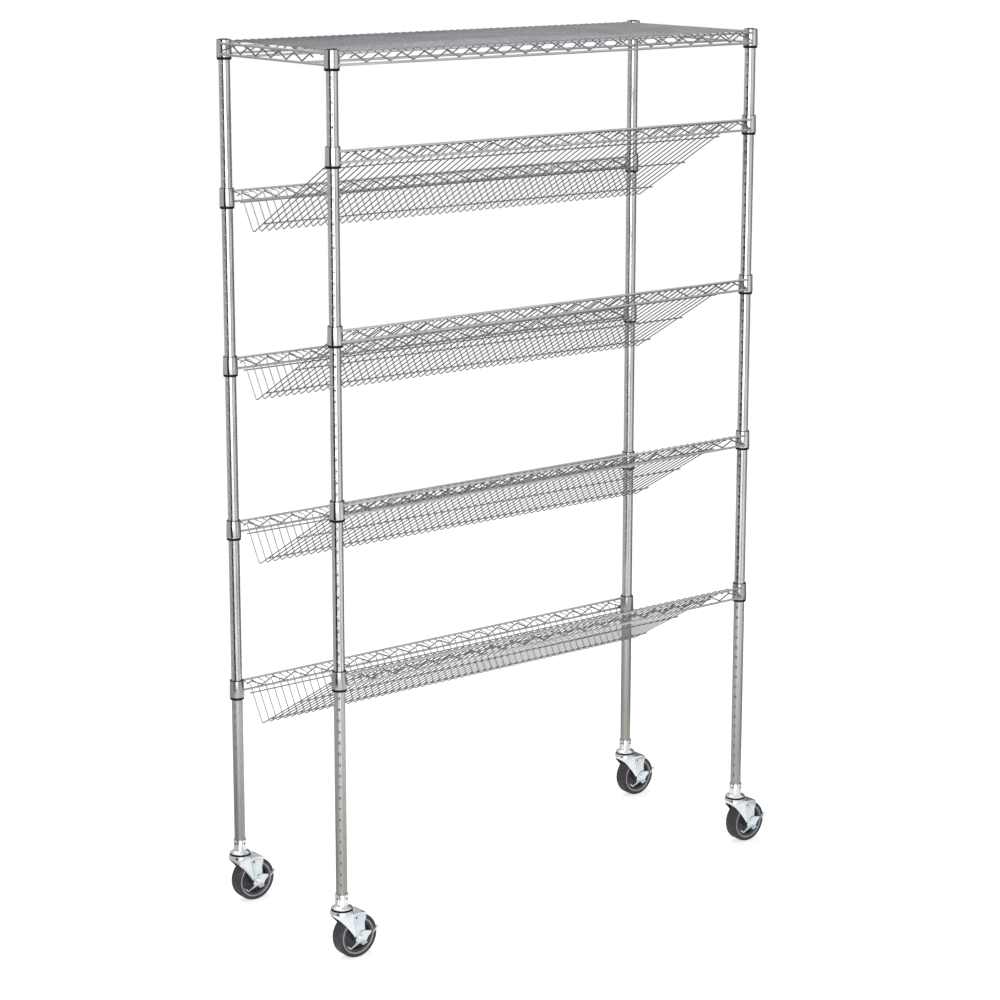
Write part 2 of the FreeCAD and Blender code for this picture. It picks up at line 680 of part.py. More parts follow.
def wheel_core():
    """Wheel centre: rim, web and hub, bored to turn on the spacer."""
    bore = SPACER_RADIUS + RUNNING_CLEARANCE
    hub_half = LEG_INNER - HUB_SIDE_GAP
    half = [
        (bore, hub_half),
        (HUB_RADIUS, hub_half),
        (HUB_RADIUS + HUB_TAPER, WEB_THICKNESS / 2),
        (RIM_RADIUS - RIM_TAPER, WEB_THICKNESS / 2),
        (RIM_RADIUS, RIM_WIDTH / 2),
        (CORE_RADIUS, RIM_WIDTH / 2),
    ]
    return [wheel_turned(mirrored(half))]


def tyre():
    """Rubber tread ring with rounded shoulders, bonded to the core."""
    half_width = WHEEL_WIDTH / 2
    half = [(CORE_RADIUS, RIM_WIDTH / 2), (CORE_RADIUS + TYRE_BEAD, half_width)]
    for turn_deg in (0, 45, 90):
        angle = math.radians(turn_deg)
        radius = WHEEL_RADIUS - TYRE_SHOULDER_HEIGHT * (1 - math.sin(angle))
        half.append((radius, half_width - TYRE_SHOULDER_WIDTH * (1 - math.cos(angle))))
    return [wheel_turned(mirrored(half))]


def brake_lever():
    """Stamped lever on the axle bolt, with a pedal to press it, a heel to lift it and a short stop tab."""
    face = lever_face()
    inner = face + LEVER_THICKNESS
    lever = plate(around_axle(LEVER_BODY), face, inner)
    for strip in (LEVER_PEDAL, LEVER_HEEL, LEVER_TAB):
        lever = lever.fuse(plate(around_axle(strip), face - LEVER_PEDAL_WIDTH, inner))
    lever = lever.removeSplitter()
    return [lever.cut(cross_tube(0, BOLT_RADIUS + RUNNING_CLEARANCE, face, inner)).Solids[0]]


CASTER_PIECES = {
    "socket": socket,
    "seal": swivel_seal,
    "fork": fork,
    "axle": axle_bolt,
    "wheel_core": wheel_core,
    "tyre": tyre,
    "brake_lever": brake_lever,
}


# Assembly

def nodes():
    """Every sub-part as a name and its list of solids."""
    parts = {}
    places = post_places()
    for (side, end), (x, y) in zip(CORNERS, places):
        parts["post_%s_%s" % (side, end)] = copies(post(), [Vector(x, y, 0)])
    parts["post_caps"] = copies(post_cap(), [Vector(x, y, 0) for x, y in places])
    levels = [(ring_height(near), ring_height(far)) for near, far in shelf_grooves()]
    for tier, (near, far) in enumerate(levels, start=1):
        parts["tier_%d_sleeves" % tier] = at_posts(sleeve_halves(), near, far)
        parts["shelf_%d_collars" % tier] = at_posts([collar()], near, far)
        if tier > 1:
            parts["shelf_%d_trusses" % tier] = (
                long_truss("near", near, V_WIRE_DIAMETER) + long_truss("far", far, V_WIRE_DIAMETER))
            parts["shelf_%d_v_wires" % tier] = v_wires(near, far)
            parts["shelf_%d_stringers" % tier] = stringers(near, far)
    top = levels[0][0]
    rim = long_truss("near", top, 0) + long_truss("far", top, 0)
    parts["shelf_1_rim_trusses"] = rim + end_truss("left", top) + end_truss("right", top)
    inner = [sign * INNER_TRUSS_SPACING / 2 for sign in (-1, 1)]
    parts["shelf_1_inner_trusses"] = inner_truss(inner[0], top) + inner_truss(inner[1], top)
    parts["shelf_1_deck_wires"] = deck_wires(top)
    for name, make in CASTER_PIECES.items():
        pieces = make()
        for (side, end), (x, y) in zip(CORNERS, places):
            moved = [copy for piece in pieces for copy in copies(piece, [Vector(x, y, 0)])]
            parts["caster_%s_%s_%s" % (side, end, name)] = moved
    return parts


os.makedirs("parts", exist_ok=True)
for node_name, node_solids in nodes().items():
    shape = node_solids[0] if len(node_solids) == 1 else Part.makeCompound(node_solids)
    shape.exportStep("parts/%s.step" % node_name)
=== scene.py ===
"""Looks of the wire bakery rack: plated posts and shelves, black sleeves, zinc casters and a white studio.

Pieces are worked in millimetres, in the rack's own frame, and handed over in metres.
"""
import bmesh
import bpy
import math
from mathutils import Matrix, Vector


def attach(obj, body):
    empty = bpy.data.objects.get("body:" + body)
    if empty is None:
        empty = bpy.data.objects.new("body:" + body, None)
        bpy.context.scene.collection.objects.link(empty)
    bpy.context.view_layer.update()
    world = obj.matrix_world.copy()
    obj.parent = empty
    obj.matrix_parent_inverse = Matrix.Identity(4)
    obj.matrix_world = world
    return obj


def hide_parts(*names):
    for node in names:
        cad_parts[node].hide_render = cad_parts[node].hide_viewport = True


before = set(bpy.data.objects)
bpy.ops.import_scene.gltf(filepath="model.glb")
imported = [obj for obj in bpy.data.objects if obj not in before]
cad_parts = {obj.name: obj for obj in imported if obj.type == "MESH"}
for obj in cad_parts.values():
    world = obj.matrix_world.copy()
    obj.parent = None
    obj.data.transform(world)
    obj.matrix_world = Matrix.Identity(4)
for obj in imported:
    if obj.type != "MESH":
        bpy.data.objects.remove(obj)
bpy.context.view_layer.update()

MM = 0.001
WHOLE_TURN = 2 * math.pi
UP = Vector((0, 0, 1))
CORNERS = [(side, end) for side in ("near", "far") for end in ("left", "right")]

# Signs of the near and far sides along Y, and of the left and right ends along X
SIDE_SIGN = {"near": -1, "far": 1, "left": -1, "right": 1}

# Distances below which points count as one, and the bend up to which the facets of a CAD node are one face
SAME_POINT = 0.0005
TURNED_MERGE = 0.001
CAD_MERGE = 0.002
FLAT_DEG = 1

# Edges bent by more than the first angle stay sharp in the shading; on the pressings and the nut those bent
# by more than the second are rounded off; the steps are those of every rounding
SHARP_DEG = 32
CRISP_DEG = 40
SOFT_STEPS = 2

# Clearance between parts that slide into each other
FIT_GAP = 0.05

# Posts, with their caps and inch numbers; the satin plate goes from darker to lighter between the foot
# heights
POST_RADIUS = 12.7
POST_BORE = 11.1
POST_FOOT = 135.0
POST_LENGTH = 1879.6
POST_X = 592.55
POST_Y = 211.55
GROOVE_PITCH = 25.4
GROOVE_COUNT = 73
GROOVE_DEPTH = 0.35
GROOVE_MOUTH = 1.2
GROOVE_FLOOR = 0.5
CAP_DOME = [(0, 2.5), (5.0, 2.45), (9.0, 2.2), (11.4, 1.6), (12.5, 0.8), (POST_RADIUS, 0.0)]
CAP_PLUG = 18.0
NUMBER_SIZE = 9.0
NUMBER_WEIGHT = 0.4
NUMBER_NARROWING = 0.75
NUMBER_DROP = 7.1
NUMBER_PROUD = 0.08
NUMBERS_FACE_DEG = {"near_left": 42, "near_right": 66, "far_left": 60, "far_right": -60}
POST_SHARP_DEG = 18
ROUND_STEPS = 36
FOOT_DARKEST_HEIGHT = 240.0
FOOT_LIGHTEST_HEIGHT = 580.0

# Sleeves and collars
RING_TO_GROOVE = 15.1
RING_HALF = 3.0
RING_RADIUS = 16.4
RING_CHAMFER = 0.5
SLEEVE_BASE_RADIUS = 14.7
SLEEVE_TIP_RADIUS = 13.9
SLEEVE_TOP = 33.0
SLEEVE_SPLIT_DEG = 1.6
RIB_MOUTH = 1.15
RIB_CREST = 0.45
COLLAR_TOP = 43.0
COLLAR_LOW_RADIUS = 17.3
COLLAR_LOW_BORE = 14.9
COLLAR_TOP_RADIUS = 16.3
COLLAR_TOP_BORE = 13.75
COLLAR_ROLL = 0.6
# The collars' top rim is painted dark to this depth, as painted shade for the gap at their mouths
RIM_SHADE_DEPTH = 0.5
TOP_COLLAR_DROP = 1.8

# Shelves: grooves of the near and far sleeves; rail heights are above the sleeves' rings
SHELF_GROOVES = [(73, 73), (65, 60), (50, 45), (35, 30), (20, 15)]
RAIL_X = 606.85
RAIL_Y = 225.85
RAIL_RADIUS = 2.75
RAIL_REACH = 5.0
RAIL_SIDES = 12
UPPER_RAIL = 33.5
LOWER_RAIL = 9.5
SNAKE_RADIUS = 1.65
SNAKE_PERIOD = 60.5
SNAKE_BEND = 6.0
SNAKE_BEND_STEPS = 3
SNAKE_SLOPE_ROUNDS = 12
SNAKE_SETBACK = 47.5
SNAKE_STUB = 12.0
SNAKE_END_DROP = 15.5
WIRE_RADIUS = 1.25
WIRE_SIDES = 8
BEND_STEPS = 2
DECK_PITCH = 19.7
DECK_COUNT = 59
DECK_END_RUN = 0.3
INNER_TRUSS_Y = 118.0
INNER_RAIL_BITE = 1.0
V_PITCH = 19.73
V_COUNT = 58
V_SLOPE_DEG = 30.8
V_FLANGE = 25.0
V_OVERHANG = 3.0
V_BEND = 6.0
STRINGER_RADIUS = 1.6
STRINGER_SIDES = 10
STRINGER_X = 568.3
STRINGERS = (78.0, 218.0, 356.0)
LIP_STRINGER_DROP = 20.4

# Casters, about a post's axis; the outlines are (radius, height) points
TRAIL = 33.0
AXLE = 50.8
CROWN_TOP = 117.5
SEAL_BORE = 21.5
SEAL_RADIUS = 24.5
SEAL_GROOVE = [(SEAL_RADIUS, 118.7), (23.7, 119.35), (SEAL_RADIUS, 120.0)]
SEAL_TOP = 121.2
SEAL_ROUNDING = 0.3
KINGPIN_RADIUS = 6.0
KINGPIN_FOOT = 102.0
FLANGE_BOTTOM = 121.5
FLANGE_RADIUS = 23.5
FLANGE_RIM = 2.0
SOCKET_TOP = 155.0
SOCKET_RADIUS = 15.0
SOCKET_DOME = [(21.5, 124.9), (18.5, 126.7), (16.0, 128.2), (SOCKET_RADIUS, 130.2)]
SOCKET_ROUNDING = 0.45
SOCKET_HOLES_DEG = (13.5, 103.5, 193.5, 283.5)
SOCKET_HOLE_RADIUS = 2.5
SOCKET_HOLE_HEIGHT = SOCKET_TOP - 9.0
DRILL_START = 11.0
DRILL_LENGTH = 8.0
# Dark discs in the socket's holes are painted shade for the dark inside of the holes
HOLE_SHADE_RADIUS = 2.46
HOLE_SHADE_LENGTH = 0.6
HOLE_SHADE_GAP = 0.1
CASTER_STEPS = 40
BAR_STEPS = 20
LEG_FACE = -20.5
LEG_FACE_SLACK = 0.01
FORK_ROUNDING = 0.45
BRACKET_ROUNDING = 0.3
LEVER_ROUNDING = 0.35

# Bolt, nut and spacer: (radius, distance along the wheel axle) points and lengths
BOLT = [
    (0, -27.1), (4.4, -27.1), (6.5, -26.1), (6.5, -24.6), (4.0, -24.6), (4.0, 28.2), (3.2, 29.0), (0, 29.0),
]
BOLT_ROUNDING = 0.3
BOLT_STEPS = 28
NUT_MIDDLE = 23.75
NUT_RADIUS = 7.5
NUT_THICKNESS = 6.5
NUT_ROUNDING = 0.5
SPACER_RADIUS = 6.0
SPACER_BORE = 4.02
SPACER_HALF = 17.5

# Wheel: one half of each outline as (radius, distance along the axle) points, from the hub outwards
WHEEL_RADIUS = 50.8
CORE_HALF = [
    (6.05, 17.2), (12.2, 17.2), (13.2, 15.5), (15.0, 4.6), (17.0, 4.0), (28.6, 4.0), (30.4, 5.2),
    (32.0, 13.4), (33.2, 14.0), (38.0, 14.0),
]
CORE_ROUNDING = 0.35
CORE_STEPS = 56
TYRE_HALF = [
    (38.0, 14.0), (38.5, 15.0), (39.2, 15.6), (41.3, 15.7), (41.9, 15.2), (42.8, 15.8), (46.2, 16.0),
    (48.2, 15.4), (49.9, 13.9), (50.65, 12.2), (WHEEL_RADIUS, 10.8),
]
TYRE_STEPS = 72
BEAD_INNER = 38.1
BEAD_OUTER = 41.7
BEAD_FACE = 14.2

# Planes that trim the rails to the collars' flanks: how far the plane's point stands back from and outside
# the post's axis, and the two shares of its normal
FLANK_BACK = 8.6
FLANK_OUT = 13.8
FLANK_ALONG = 0.529
FLANK_ACROSS = 0.849

# Patterns in the finishes: waves or cells per metre, depths in metres
HAZE_WAVES = 9.0
PLATE_GLOSS_WAVES = 55.0
RIPPLE_WAVES = 420.0
RIPPLE_DEPTH = 0.00006
RIPPLE_STRENGTH = 0.35
SPANGLE_CELLS = 260.0
SPANGLE_SHADE = 0.82
SPANGLE_SHARE = 0.45
ZINC_CLOUD_WAVES = 32.0
ZINC_GLOSS_WAVES = 90.0
SCRATCH_WAVES = 600.0
SCRATCH_SQUASH = (1, 1, 0.15)
SCRATCH_DEPTH = 0.0001
SCRATCH_STRENGTH = 0.3
SCUFF_WAVES = 38.0
MOULD_GLOSS_WAVES = 70.0
GRAIN_STRENGTH = 0.5

# Camera: place and sensor in millimetres, angles in radians, focal length and picture in pixels, shift in
# picture widths
CAMERA_PLACE = (-3672.20, -4766.98, 2381.84)
CAMERA_YAW = 0.6538
CAMERA_PITCH = 0.2051
CAMERA_FOCUS = 2623.68
CAMERA_SHIFT = (0.0114, -0.085)
PICTURE_WIDTH = 1000
SENSOR_WIDTH = 36.0

# Studio: lengths in metres, tone and brightness of the floor and the surroundings
FLOOR_HALF = 40.0
FLOOR_TONE = 0.8
FLOOR_LIFT = 0.6
WORLD_LIGHT = 0.5
AIM_HEIGHT = 1.0

# Softboxes: name, angle in degrees, then distance, height, width and tallness, and watts
SOFTBOXES = [
    ("front softbox", 226, 5.0, 1.9, 5.2, 4.2, 130),
    ("top softbox", 100, 1.5, 5.0, 4.0, 3.0, 60),
]

# Cards: name, first and last angle in degrees, near edge, height and shade
CARD_FAR = 4.2
CARD_LIFT = 0.003
CARD_STEPS = 12
CARDS = [
    ("grey card back left", 50, 184, 0.55, 3.4, 0.6),
    ("dark card left", 184, 213, 1.8, 4.2, 0.03),
    ("narrow card right", 261, 275, 1.0, 4.2, 0.5),
    ("grey card front right", 314, 340, 1.2, 3.2, 0.55),
    ("dark card back right", 340, 410, 1.2, 3.0, 0.18),
]


def ring_height(groove):
    """Height of the middle of a sleeve's ring on this groove."""
    return POST_FOOT + groove * GROOVE_PITCH - RING_TO_GROOVE


LEVELS = [{"near": ring_height(near), "far": ring_height(far)} for near, far in SHELF_GROOVES]


def post_place(side, end, height=0.0):
    """A point on a post's axis."""
    return Vector((SIDE_SIGN[end] * POST_X, SIDE_SIGN[side] * POST_Y, height))


# Workshop: shapes

def linked(bm, name):
    """Turns a finished bmesh into an object of the scene, and uses it up."""
    mesh = bpy.data.meshes.new(name)
    bm.to_mesh(mesh)
    bm.free()
    item = bpy.data.objects.new(name, mesh)
    bpy.context.scene.collection.objects.link(item)
    return item


def hand_over(bm, name, body, materials, nodes, sharp_deg=SHARP_DEG):
    """Turns a finished bmesh in millimetres into a piece that rides its body and stands for its CAD nodes."""
    bmesh.ops.remove_doubles(bm, verts=bm.verts, dist=SAME_POINT)
    bmesh.ops.recalc_face_normals(bm, faces=bm.faces)
    bmesh.ops.scale(bm, vec=(MM, MM, MM), verts=bm.verts)
    piece = linked(bm, name)
    for material in materials:
        piece.data.materials.append(material)
    piece.data.shade_smooth()
    piece.data.set_sharp_from_angle(angle=math.radians(sharp_deg))
    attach(piece, body)
    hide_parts(*nodes)
    return piece


def add_copies(bm, one, offsets):
    """Adds a moved copy of a finished shape for every offset, and uses it up."""
    stock = bpy.data.meshes.new("stock")
    one.to_mesh(stock)
    one.free()
    for offset in offsets:
        first = len(bm.verts)
        bm.from_mesh(stock)
        bm.verts.ensure_lookup_table()
        bmesh.ops.translate(bm, verts=bm.verts[first:], vec=offset)
    bpy.data.meshes.remove(stock)


def turned(outline, steps, closed=False, round_off=0.0, angle=WHOLE_TURN):
    """Shape turned about Z from (radius, height) points, with its corners rounded off first."""
    bm = bmesh.new()
    points = [bm.verts.new((radius, 0, height)) for radius, height in outline]
    pairs = list(zip(points, points[1:]))
    if closed:
        pairs.append((points[-1], points[0]))
    for first, second in pairs:
        bm.edges.new((first, second))
    if round_off:
        corners = points if closed else points[1:-1]
        bmesh.ops.bevel(bm, geom=corners, offset=round_off, offset_type="OFFSET", segments=SOFT_STEPS,
                        profile=0.5, affect="VERTICES", material=-1)
    whole = angle == WHOLE_TURN
    if not whole:
        bmesh.ops.contextual_create(bm, geom=bm.edges[:])
    bmesh.ops.spin(bm, geom=bm.verts[:] + bm.edges[:] + bm.faces[:], cent=(0, 0, 0), axis=UP, angle=angle,
                   steps=steps, use_merge=whole)
    bmesh.ops.remove_doubles(bm, verts=bm.verts, dist=TURNED_MERGE)
    bmesh.ops.dissolve_degenerate(bm, dist=SAME_POINT, edges=bm.edges)
    bmesh.ops.recalc_face_normals(bm, faces=bm.faces)
    return bm


def swung(bm, angle):
    """Turns a shape about Z."""
    bmesh.ops.rotate(bm, verts=bm.verts, cent=(0, 0, 0), matrix=Matrix.Rotation(angle, 3, "Z"))
    return bm


def laid_over(bm):
    """Turns a shape made about Z so that it lies about the wheel axle, along Y."""
    bmesh.ops.rotate(bm, verts=bm.verts, cent=(0, 0, 0), matrix=Matrix.Rotation(-math.pi / 2, 3, "X"))
    bmesh.ops.translate(bm, verts=bm.verts, vec=(TRAIL, 0, AXLE))
    return bm


def mirrored(half):
    """Full outline from its half on one side of the middle plane."""
    return half + [(radius, -height) for radius, height in reversed(half)]


def pushed(bm, face, keep):
    """Extrudes a wire's end face and returns the new one, keeping the old one only as the first cap."""
    made = bmesh.ops.extrude_face_region(bm, geom=[face])
    if not keep:
        bm.faces.remove(face)
    return [item for item in made["geom"] if isinstance(item, bmesh.types.BMFace)][0]


def wire(corners, radius, bend=0.0, sides=WIRE_SIDES, steps=BEND_STEPS):
    """Round wire drawn through the corners, with a tangent bend at each."""
    bm = bmesh.new()
    runs = [(after - before).normalized() for before, after in zip(corners, corners[1:])]
    lie = Matrix.Translation(corners[0]) @ runs[0].to_track_quat("Z", "Y").to_matrix().to_4x4()
    start = bmesh.ops.create_circle(bm, cap_ends=True, segments=sides, radius=radius, matrix=lie)
    face = start["verts"][0].link_faces[0]
    here = corners[0]
    for index, corner in enumerate(corners[1:], start=1):
        last = index == len(runs)
        turning = 0.0 if last else runs[index - 1].angle(runs[index])
        setback = bend * math.tan(turning / 2)
        stop = corner - runs[index - 1] * setback
        face = pushed(bm, face, keep=index == 1)
        bmesh.ops.translate(bm, verts=face.verts[:], vec=stop - here)
        if last:
            break
        axis = runs[index - 1].cross(runs[index]).normalized()
        centre = stop + axis.cross(runs[index - 1]) * bend
        turn = Matrix.Rotation(turning / steps, 3, axis)
        for _ in range(steps):
            face = pushed(bm, face, keep=False)
            bmesh.ops.rotate(bm, verts=face.verts[:], cent=centre, matrix=turn)
        here = corner + runs[index] * setback
    return bm


def mitred(bm, point, normal):
    """Cuts off what lies on the normal's side of a plane, and closes the cut."""
    cut = bmesh.ops.bisect_plane(bm, geom=bm.verts[:] + bm.edges[:] + bm.faces[:], plane_co=point,
                                 plane_no=normal, clear_outer=True)
    edges = [item for item in cut["geom_cut"] if isinstance(item, bmesh.types.BMEdge)]
    if edges:
        bmesh.ops.holes_fill(bm, edges=edges)
    return bm


def cad_copy(node, origin, wanted=lambda face: True):
    """Merged copy of a CAD node's wanted faces, in millimetres about an origin, its flat faces made whole."""
    bm = bmesh.new()
    bm.from_mesh(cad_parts[node].data)
    bmesh.ops.scale(bm, vec=(1 / MM, 1 / MM, 1 / MM), verts=bm.verts)
    bmesh.ops.translate(bm, verts=bm.verts, vec=-origin)
    bm.normal_update()
    bmesh.ops.delete(bm, geom=[face for face in bm.faces if not wanted(face)], context="FACES")
    bmesh.ops.remove_doubles(bm, verts=bm.verts, dist=CAD_MERGE)
    bmesh.ops.dissolve_limit(bm, angle_limit=math.radians(FLAT_DEG), verts=bm.verts, edges=bm.edges)
    return bm


def soften(bm, width):
    """Rounds off the crisp edges of a pressing or a nut."""
    least = math.radians(CRISP_DEG)
    crisp = [edge for edge in bm.edges if edge.is_manifold and edge.calc_face_angle(0) > least]
    bmesh.ops.bevel(bm, geom=crisp, offset=width, offset_type="OFFSET", segments=SOFT_STEPS, profile=0.5,
                    affect="EDGES", material=-1, clamp_overlap=True)
    return bm


# Workshop: finishes

def new_finish(name, metallic, roughness, colour):
    """New material with its shader, and the Object coordinates its patterns read."""
    material = bpy.data.materials.new(name)
    material.use_nodes = True
    tree = material.node_tree
    shader = tree.nodes["Principled BSDF"]
    shader.inputs["Metallic"].default_value = metallic
    shader.inputs["Roughness"].default_value = roughness
    shader.inputs["Base Color"].default_value = (*colour, 1)
    place = tree.nodes.new("ShaderNodeTexCoord").outputs["Object"]
    return material, tree, shader, place


def noise(tree, place, waves, detail, squash=(1, 1, 1)):
    """Noise pattern on Object coordinates: waves per metre, octaves of detail and a squash per axis."""
    mapping = tree.nodes.new("ShaderNodeMapping")
    mapping.inputs["Scale"].default_value = squash
    tree.links.new(place, mapping.inputs["Vector"])
    pattern = tree.nodes.new("ShaderNodeTexNoise")
    pattern.inputs["Scale"].default_value = waves
    pattern.inputs["Detail"].default_value = detail
    tree.links.new(mapping.outputs["Vector"], pattern.inputs["Vector"])
    return pattern.outputs["Fac"]


def ranged(tree, source, low, high, start=0.3, stop=0.7):
    """A pattern mapped to run from low to high."""
    reach = tree.nodes.new("ShaderNodeMapRange")
    for socket, value in (("From Min", start), ("From Max", stop), ("To Min", low), ("To Max", high)):
        reach.inputs[socket].default_value = value
    tree.links.new(source, reach.inputs["Value"])
    return reach.outputs["Result"]


def blended(tree, factor, first, second):
    """Colour that runs from first to second with the factor; either may be a colour or another blend."""
    mix = tree.nodes.new("ShaderNodeMix")
    mix.data_type = "RGBA"
    tree.links.new(factor, mix.inputs["Factor"])
    for socket, colour in ((mix.inputs[6], first), (mix.inputs[7], second)):
        if isinstance(colour, tuple):
            socket.default_value = (*colour, 1)
        else:
            tree.links.new(colour, socket)
    return mix.outputs[2]


def relief(tree, shader, height, depth, strength):
    """Fine relief of that depth in metres."""
    bump = tree.nodes.new("ShaderNodeBump")
    bump.inputs["Distance"].default_value = depth
    bump.inputs["Strength"].default_value = strength
    tree.links.new(height, bump.inputs["Height"])
    tree.links.new(bump.outputs["Normal"], shader.inputs["Normal"])


def clouded_gloss(tree, shader, clouds, smooth, rough):
    """Roughness that runs from smooth to rough with the clouds."""
    tree.links.new(ranged(tree, clouds, smooth, rough), shader.inputs["Roughness"])


def plate_surface(tree, shader, place, smooth, rough):
    """Clouded gloss and fine ripple of plated steel."""
    clouded_gloss(tree, shader, noise(tree, place, PLATE_GLOSS_WAVES, detail=5.0), smooth, rough)
    relief(tree, shader, noise(tree, place, RIPPLE_WAVES, detail=2.0), RIPPLE_DEPTH, RIPPLE_STRENGTH)


def plated(name, bright, darker_tone, smooth, rough):
    """Bright plate on steel: a little haze, cloudy dulling and a fine ripple."""
    material, tree, shader, place = new_finish(name, 1.0, smooth, bright)
    haze = ranged(tree, noise(tree, place, HAZE_WAVES, detail=4.0), 0.0, 1.0, start=0.42, stop=0.72)
    colour = blended(tree, haze, bright, darker_tone)
    tree.links.new(colour, shader.inputs["Base Color"])
    plate_surface(tree, shader, place, smooth, rough)
    return material


def satin_foot(name, upper_tone, darker_tone, smooth, rough):
    """Satin plate that gets darker down the post, from its upper tone to its darker one."""
    material, tree, shader, place = new_finish(name, 1.0, smooth, upper_tone)
    height = tree.nodes.new("ShaderNodeSeparateXYZ")
    tree.links.new(place, height.inputs["Vector"])
    towards_top = ranged(tree, height.outputs["Z"], 0.0, 1.0, start=FOOT_DARKEST_HEIGHT * MM,
                     stop=FOOT_LIGHTEST_HEIGHT * MM)
    tree.links.new(blended(tree, towards_top, darker_tone, upper_tone), shader.inputs["Base Color"])
    plate_surface(tree, shader, place, smooth, rough)
    return material


def zinc(name, pale, blue, smooth, rough):
    """Passivated zinc: faint spangle, bluish clouds and rolling scratches."""
    material, tree, shader, place = new_finish(name, 1.0, smooth, pale)
    spangle = tree.nodes.new("ShaderNodeTexVoronoi")
    spangle.inputs["Scale"].default_value = SPANGLE_CELLS
    tree.links.new(place, spangle.inputs["Vector"])
    clouds = noise(tree, place, ZINC_CLOUD_WAVES, detail=4.0)
    cloudy = blended(tree, ranged(tree, clouds, 0.0, 1.0, start=0.35, stop=0.65), pale, blue)
    grain = tree.nodes.new("ShaderNodeSeparateColor")
    tree.links.new(spangle.outputs["Color"], grain.inputs[0])
    darker = tuple(SPANGLE_SHADE * value for value in pale)
    shaded = ranged(tree, grain.outputs["Red"], 0.0, SPANGLE_SHARE, start=0.0, stop=1.0)
    colour = blended(tree, shaded, cloudy, darker)
    tree.links.new(colour, shader.inputs["Base Color"])
    clouded_gloss(tree, shader, noise(tree, place, ZINC_GLOSS_WAVES, detail=5.0), smooth, rough)
    scratches = noise(tree, place, SCRATCH_WAVES, detail=3.0, squash=SCRATCH_SQUASH)
    relief(tree, shader, scratches, SCRATCH_DEPTH, SCRATCH_STRENGTH)
    return material


def moulded(name, colour, worn, smooth, rough, grain, depth, shine=0.5):
    """Plastic, ink or rubber: fine grain, dusty or scuffed clouds."""
    material, tree, shader, place = new_finish(name, 0.0, smooth, colour)
    shader.inputs["Specular IOR Level"].default_value = shine
    scuffs = ranged(tree, noise(tree, place, SCUFF_WAVES, detail=6.0), 0.0, 1.0, start=0.5, stop=0.78)
    tree.links.new(blended(tree, scuffs, colour, worn), shader.inputs["Base Color"])
    clouded_gloss(tree, shader, noise(tree, place, MOULD_GLOSS_WAVES, detail=4.0), smooth, rough)
    relief(tree, shader, noise(tree, place, grain, detail=3.0), depth, GRAIN_STRENGTH)
    return material


# Metals: bright or upper tone, darker or bluer tone, least and greatest roughness
POST_CHROME = plated("post chrome", (0.60, 0.61, 0.62), (0.50, 0.51, 0.51), 0.06, 0.14)
SATIN_POST = satin_foot("satin post foot", (0.52, 0.52, 0.515), (0.32, 0.325, 0.298), 0.34, 0.44)
COLLAR_CHROME = plated("collar chrome", (0.60, 0.61, 0.62), (0.50, 0.51, 0.51), 0.06, 0.14)
SATIN_COLLAR = plated("satin collar", (0.45, 0.45, 0.45), (0.36, 0.36, 0.36), 0.18, 0.32)
# Painted shade: the dark top rim of the collars stands for the shade in the gap at their mouths
RIM_PAINTED_SHADE = plated("collar rim painted shade", (0.06, 0.06, 0.06), (0.03, 0.03, 0.03), 0.3, 0.5)
RAIL_CHROME = plated("rail chrome", (0.50, 0.51, 0.52), (0.40, 0.41, 0.42), 0.10, 0.22)
# Painted shade: the zigzag, deck, slope and tie wires have chrome darker than plate, standing for the dark
# reflections of thin wire
SNAKE_CHROME_PAINTED_SHADE = plated("zigzag chrome painted shade", (0.22, 0.225, 0.23), (0.16, 0.165, 0.17), 0.12, 0.24)
DECK_CHROME_PAINTED_SHADE = plated("deck wire chrome painted shade", (0.31, 0.315, 0.33), (0.24, 0.245, 0.26), 0.16, 0.30)
SLOPE_CHROME_PAINTED_SHADE = plated("slope wire chrome painted shade", (0.135, 0.135, 0.14), (0.095, 0.095, 0.10), 0.12, 0.24)
LIP_CHROME = plated("lip wire chrome", (0.54, 0.545, 0.55), (0.45, 0.455, 0.46), 0.10, 0.22)
TIE_CHROME_PAINTED_SHADE = plated("tie wire chrome painted shade", (0.27, 0.275, 0.28), (0.20, 0.205, 0.21), 0.12, 0.24)
ZINC = zinc("zinc pressing", (0.82, 0.83, 0.83), (0.68, 0.72, 0.76), 0.12, 0.28)
BLUE_ZINC = zinc("blue zinc bracket", (0.76, 0.81, 0.84), (0.62, 0.69, 0.75), 0.26, 0.40)
# Plastic, ink and rubber: tone, worn tone, least and greatest roughness, grain in waves per metre and its
# depth in metres, and how much they shine where that isn't the usual half
BLACK = moulded("black nylon", (0.006, 0.006, 0.006), (0.015, 0.015, 0.015), 0.42, 0.6, 900.0, 0.00005, 0.2)
INK = moulded("number ink", (0.008, 0.008, 0.008), (0.03, 0.03, 0.03), 0.5, 0.7, 500.0, 0.00001, 0.2)
WORN_INK = moulded("worn number ink", (0.16, 0.16, 0.16), (0.24, 0.24, 0.24), 0.5, 0.7, 500.0, 0.00001)
RUBBER = moulded("tyre rubber", (0.048, 0.044, 0.052), (0.085, 0.08, 0.09), 0.55, 0.8, 420.0, 0.00012, 0.35)
BEAD = moulded("tyre bead", (0.36, 0.36, 0.37), (0.45, 0.45, 0.46), 0.45, 0.65, 420.0, 0.00008)
CORE = moulded("wheel core nylon", (0.035, 0.033, 0.038), (0.07, 0.07, 0.075), 0.36, 0.6, 700.0, 0.00006)
# Painted shade: a near black for the discs that darken the socket's holes
PAINTED_HOLE_SHADE = moulded("painted shade in socket holes", (0.004, 0.004, 0.004), (0.01, 0.01, 0.01), 0.5, 0.7, 700.0, 0.00003, 0.1)


# Posts with their inch numbers, and their caps

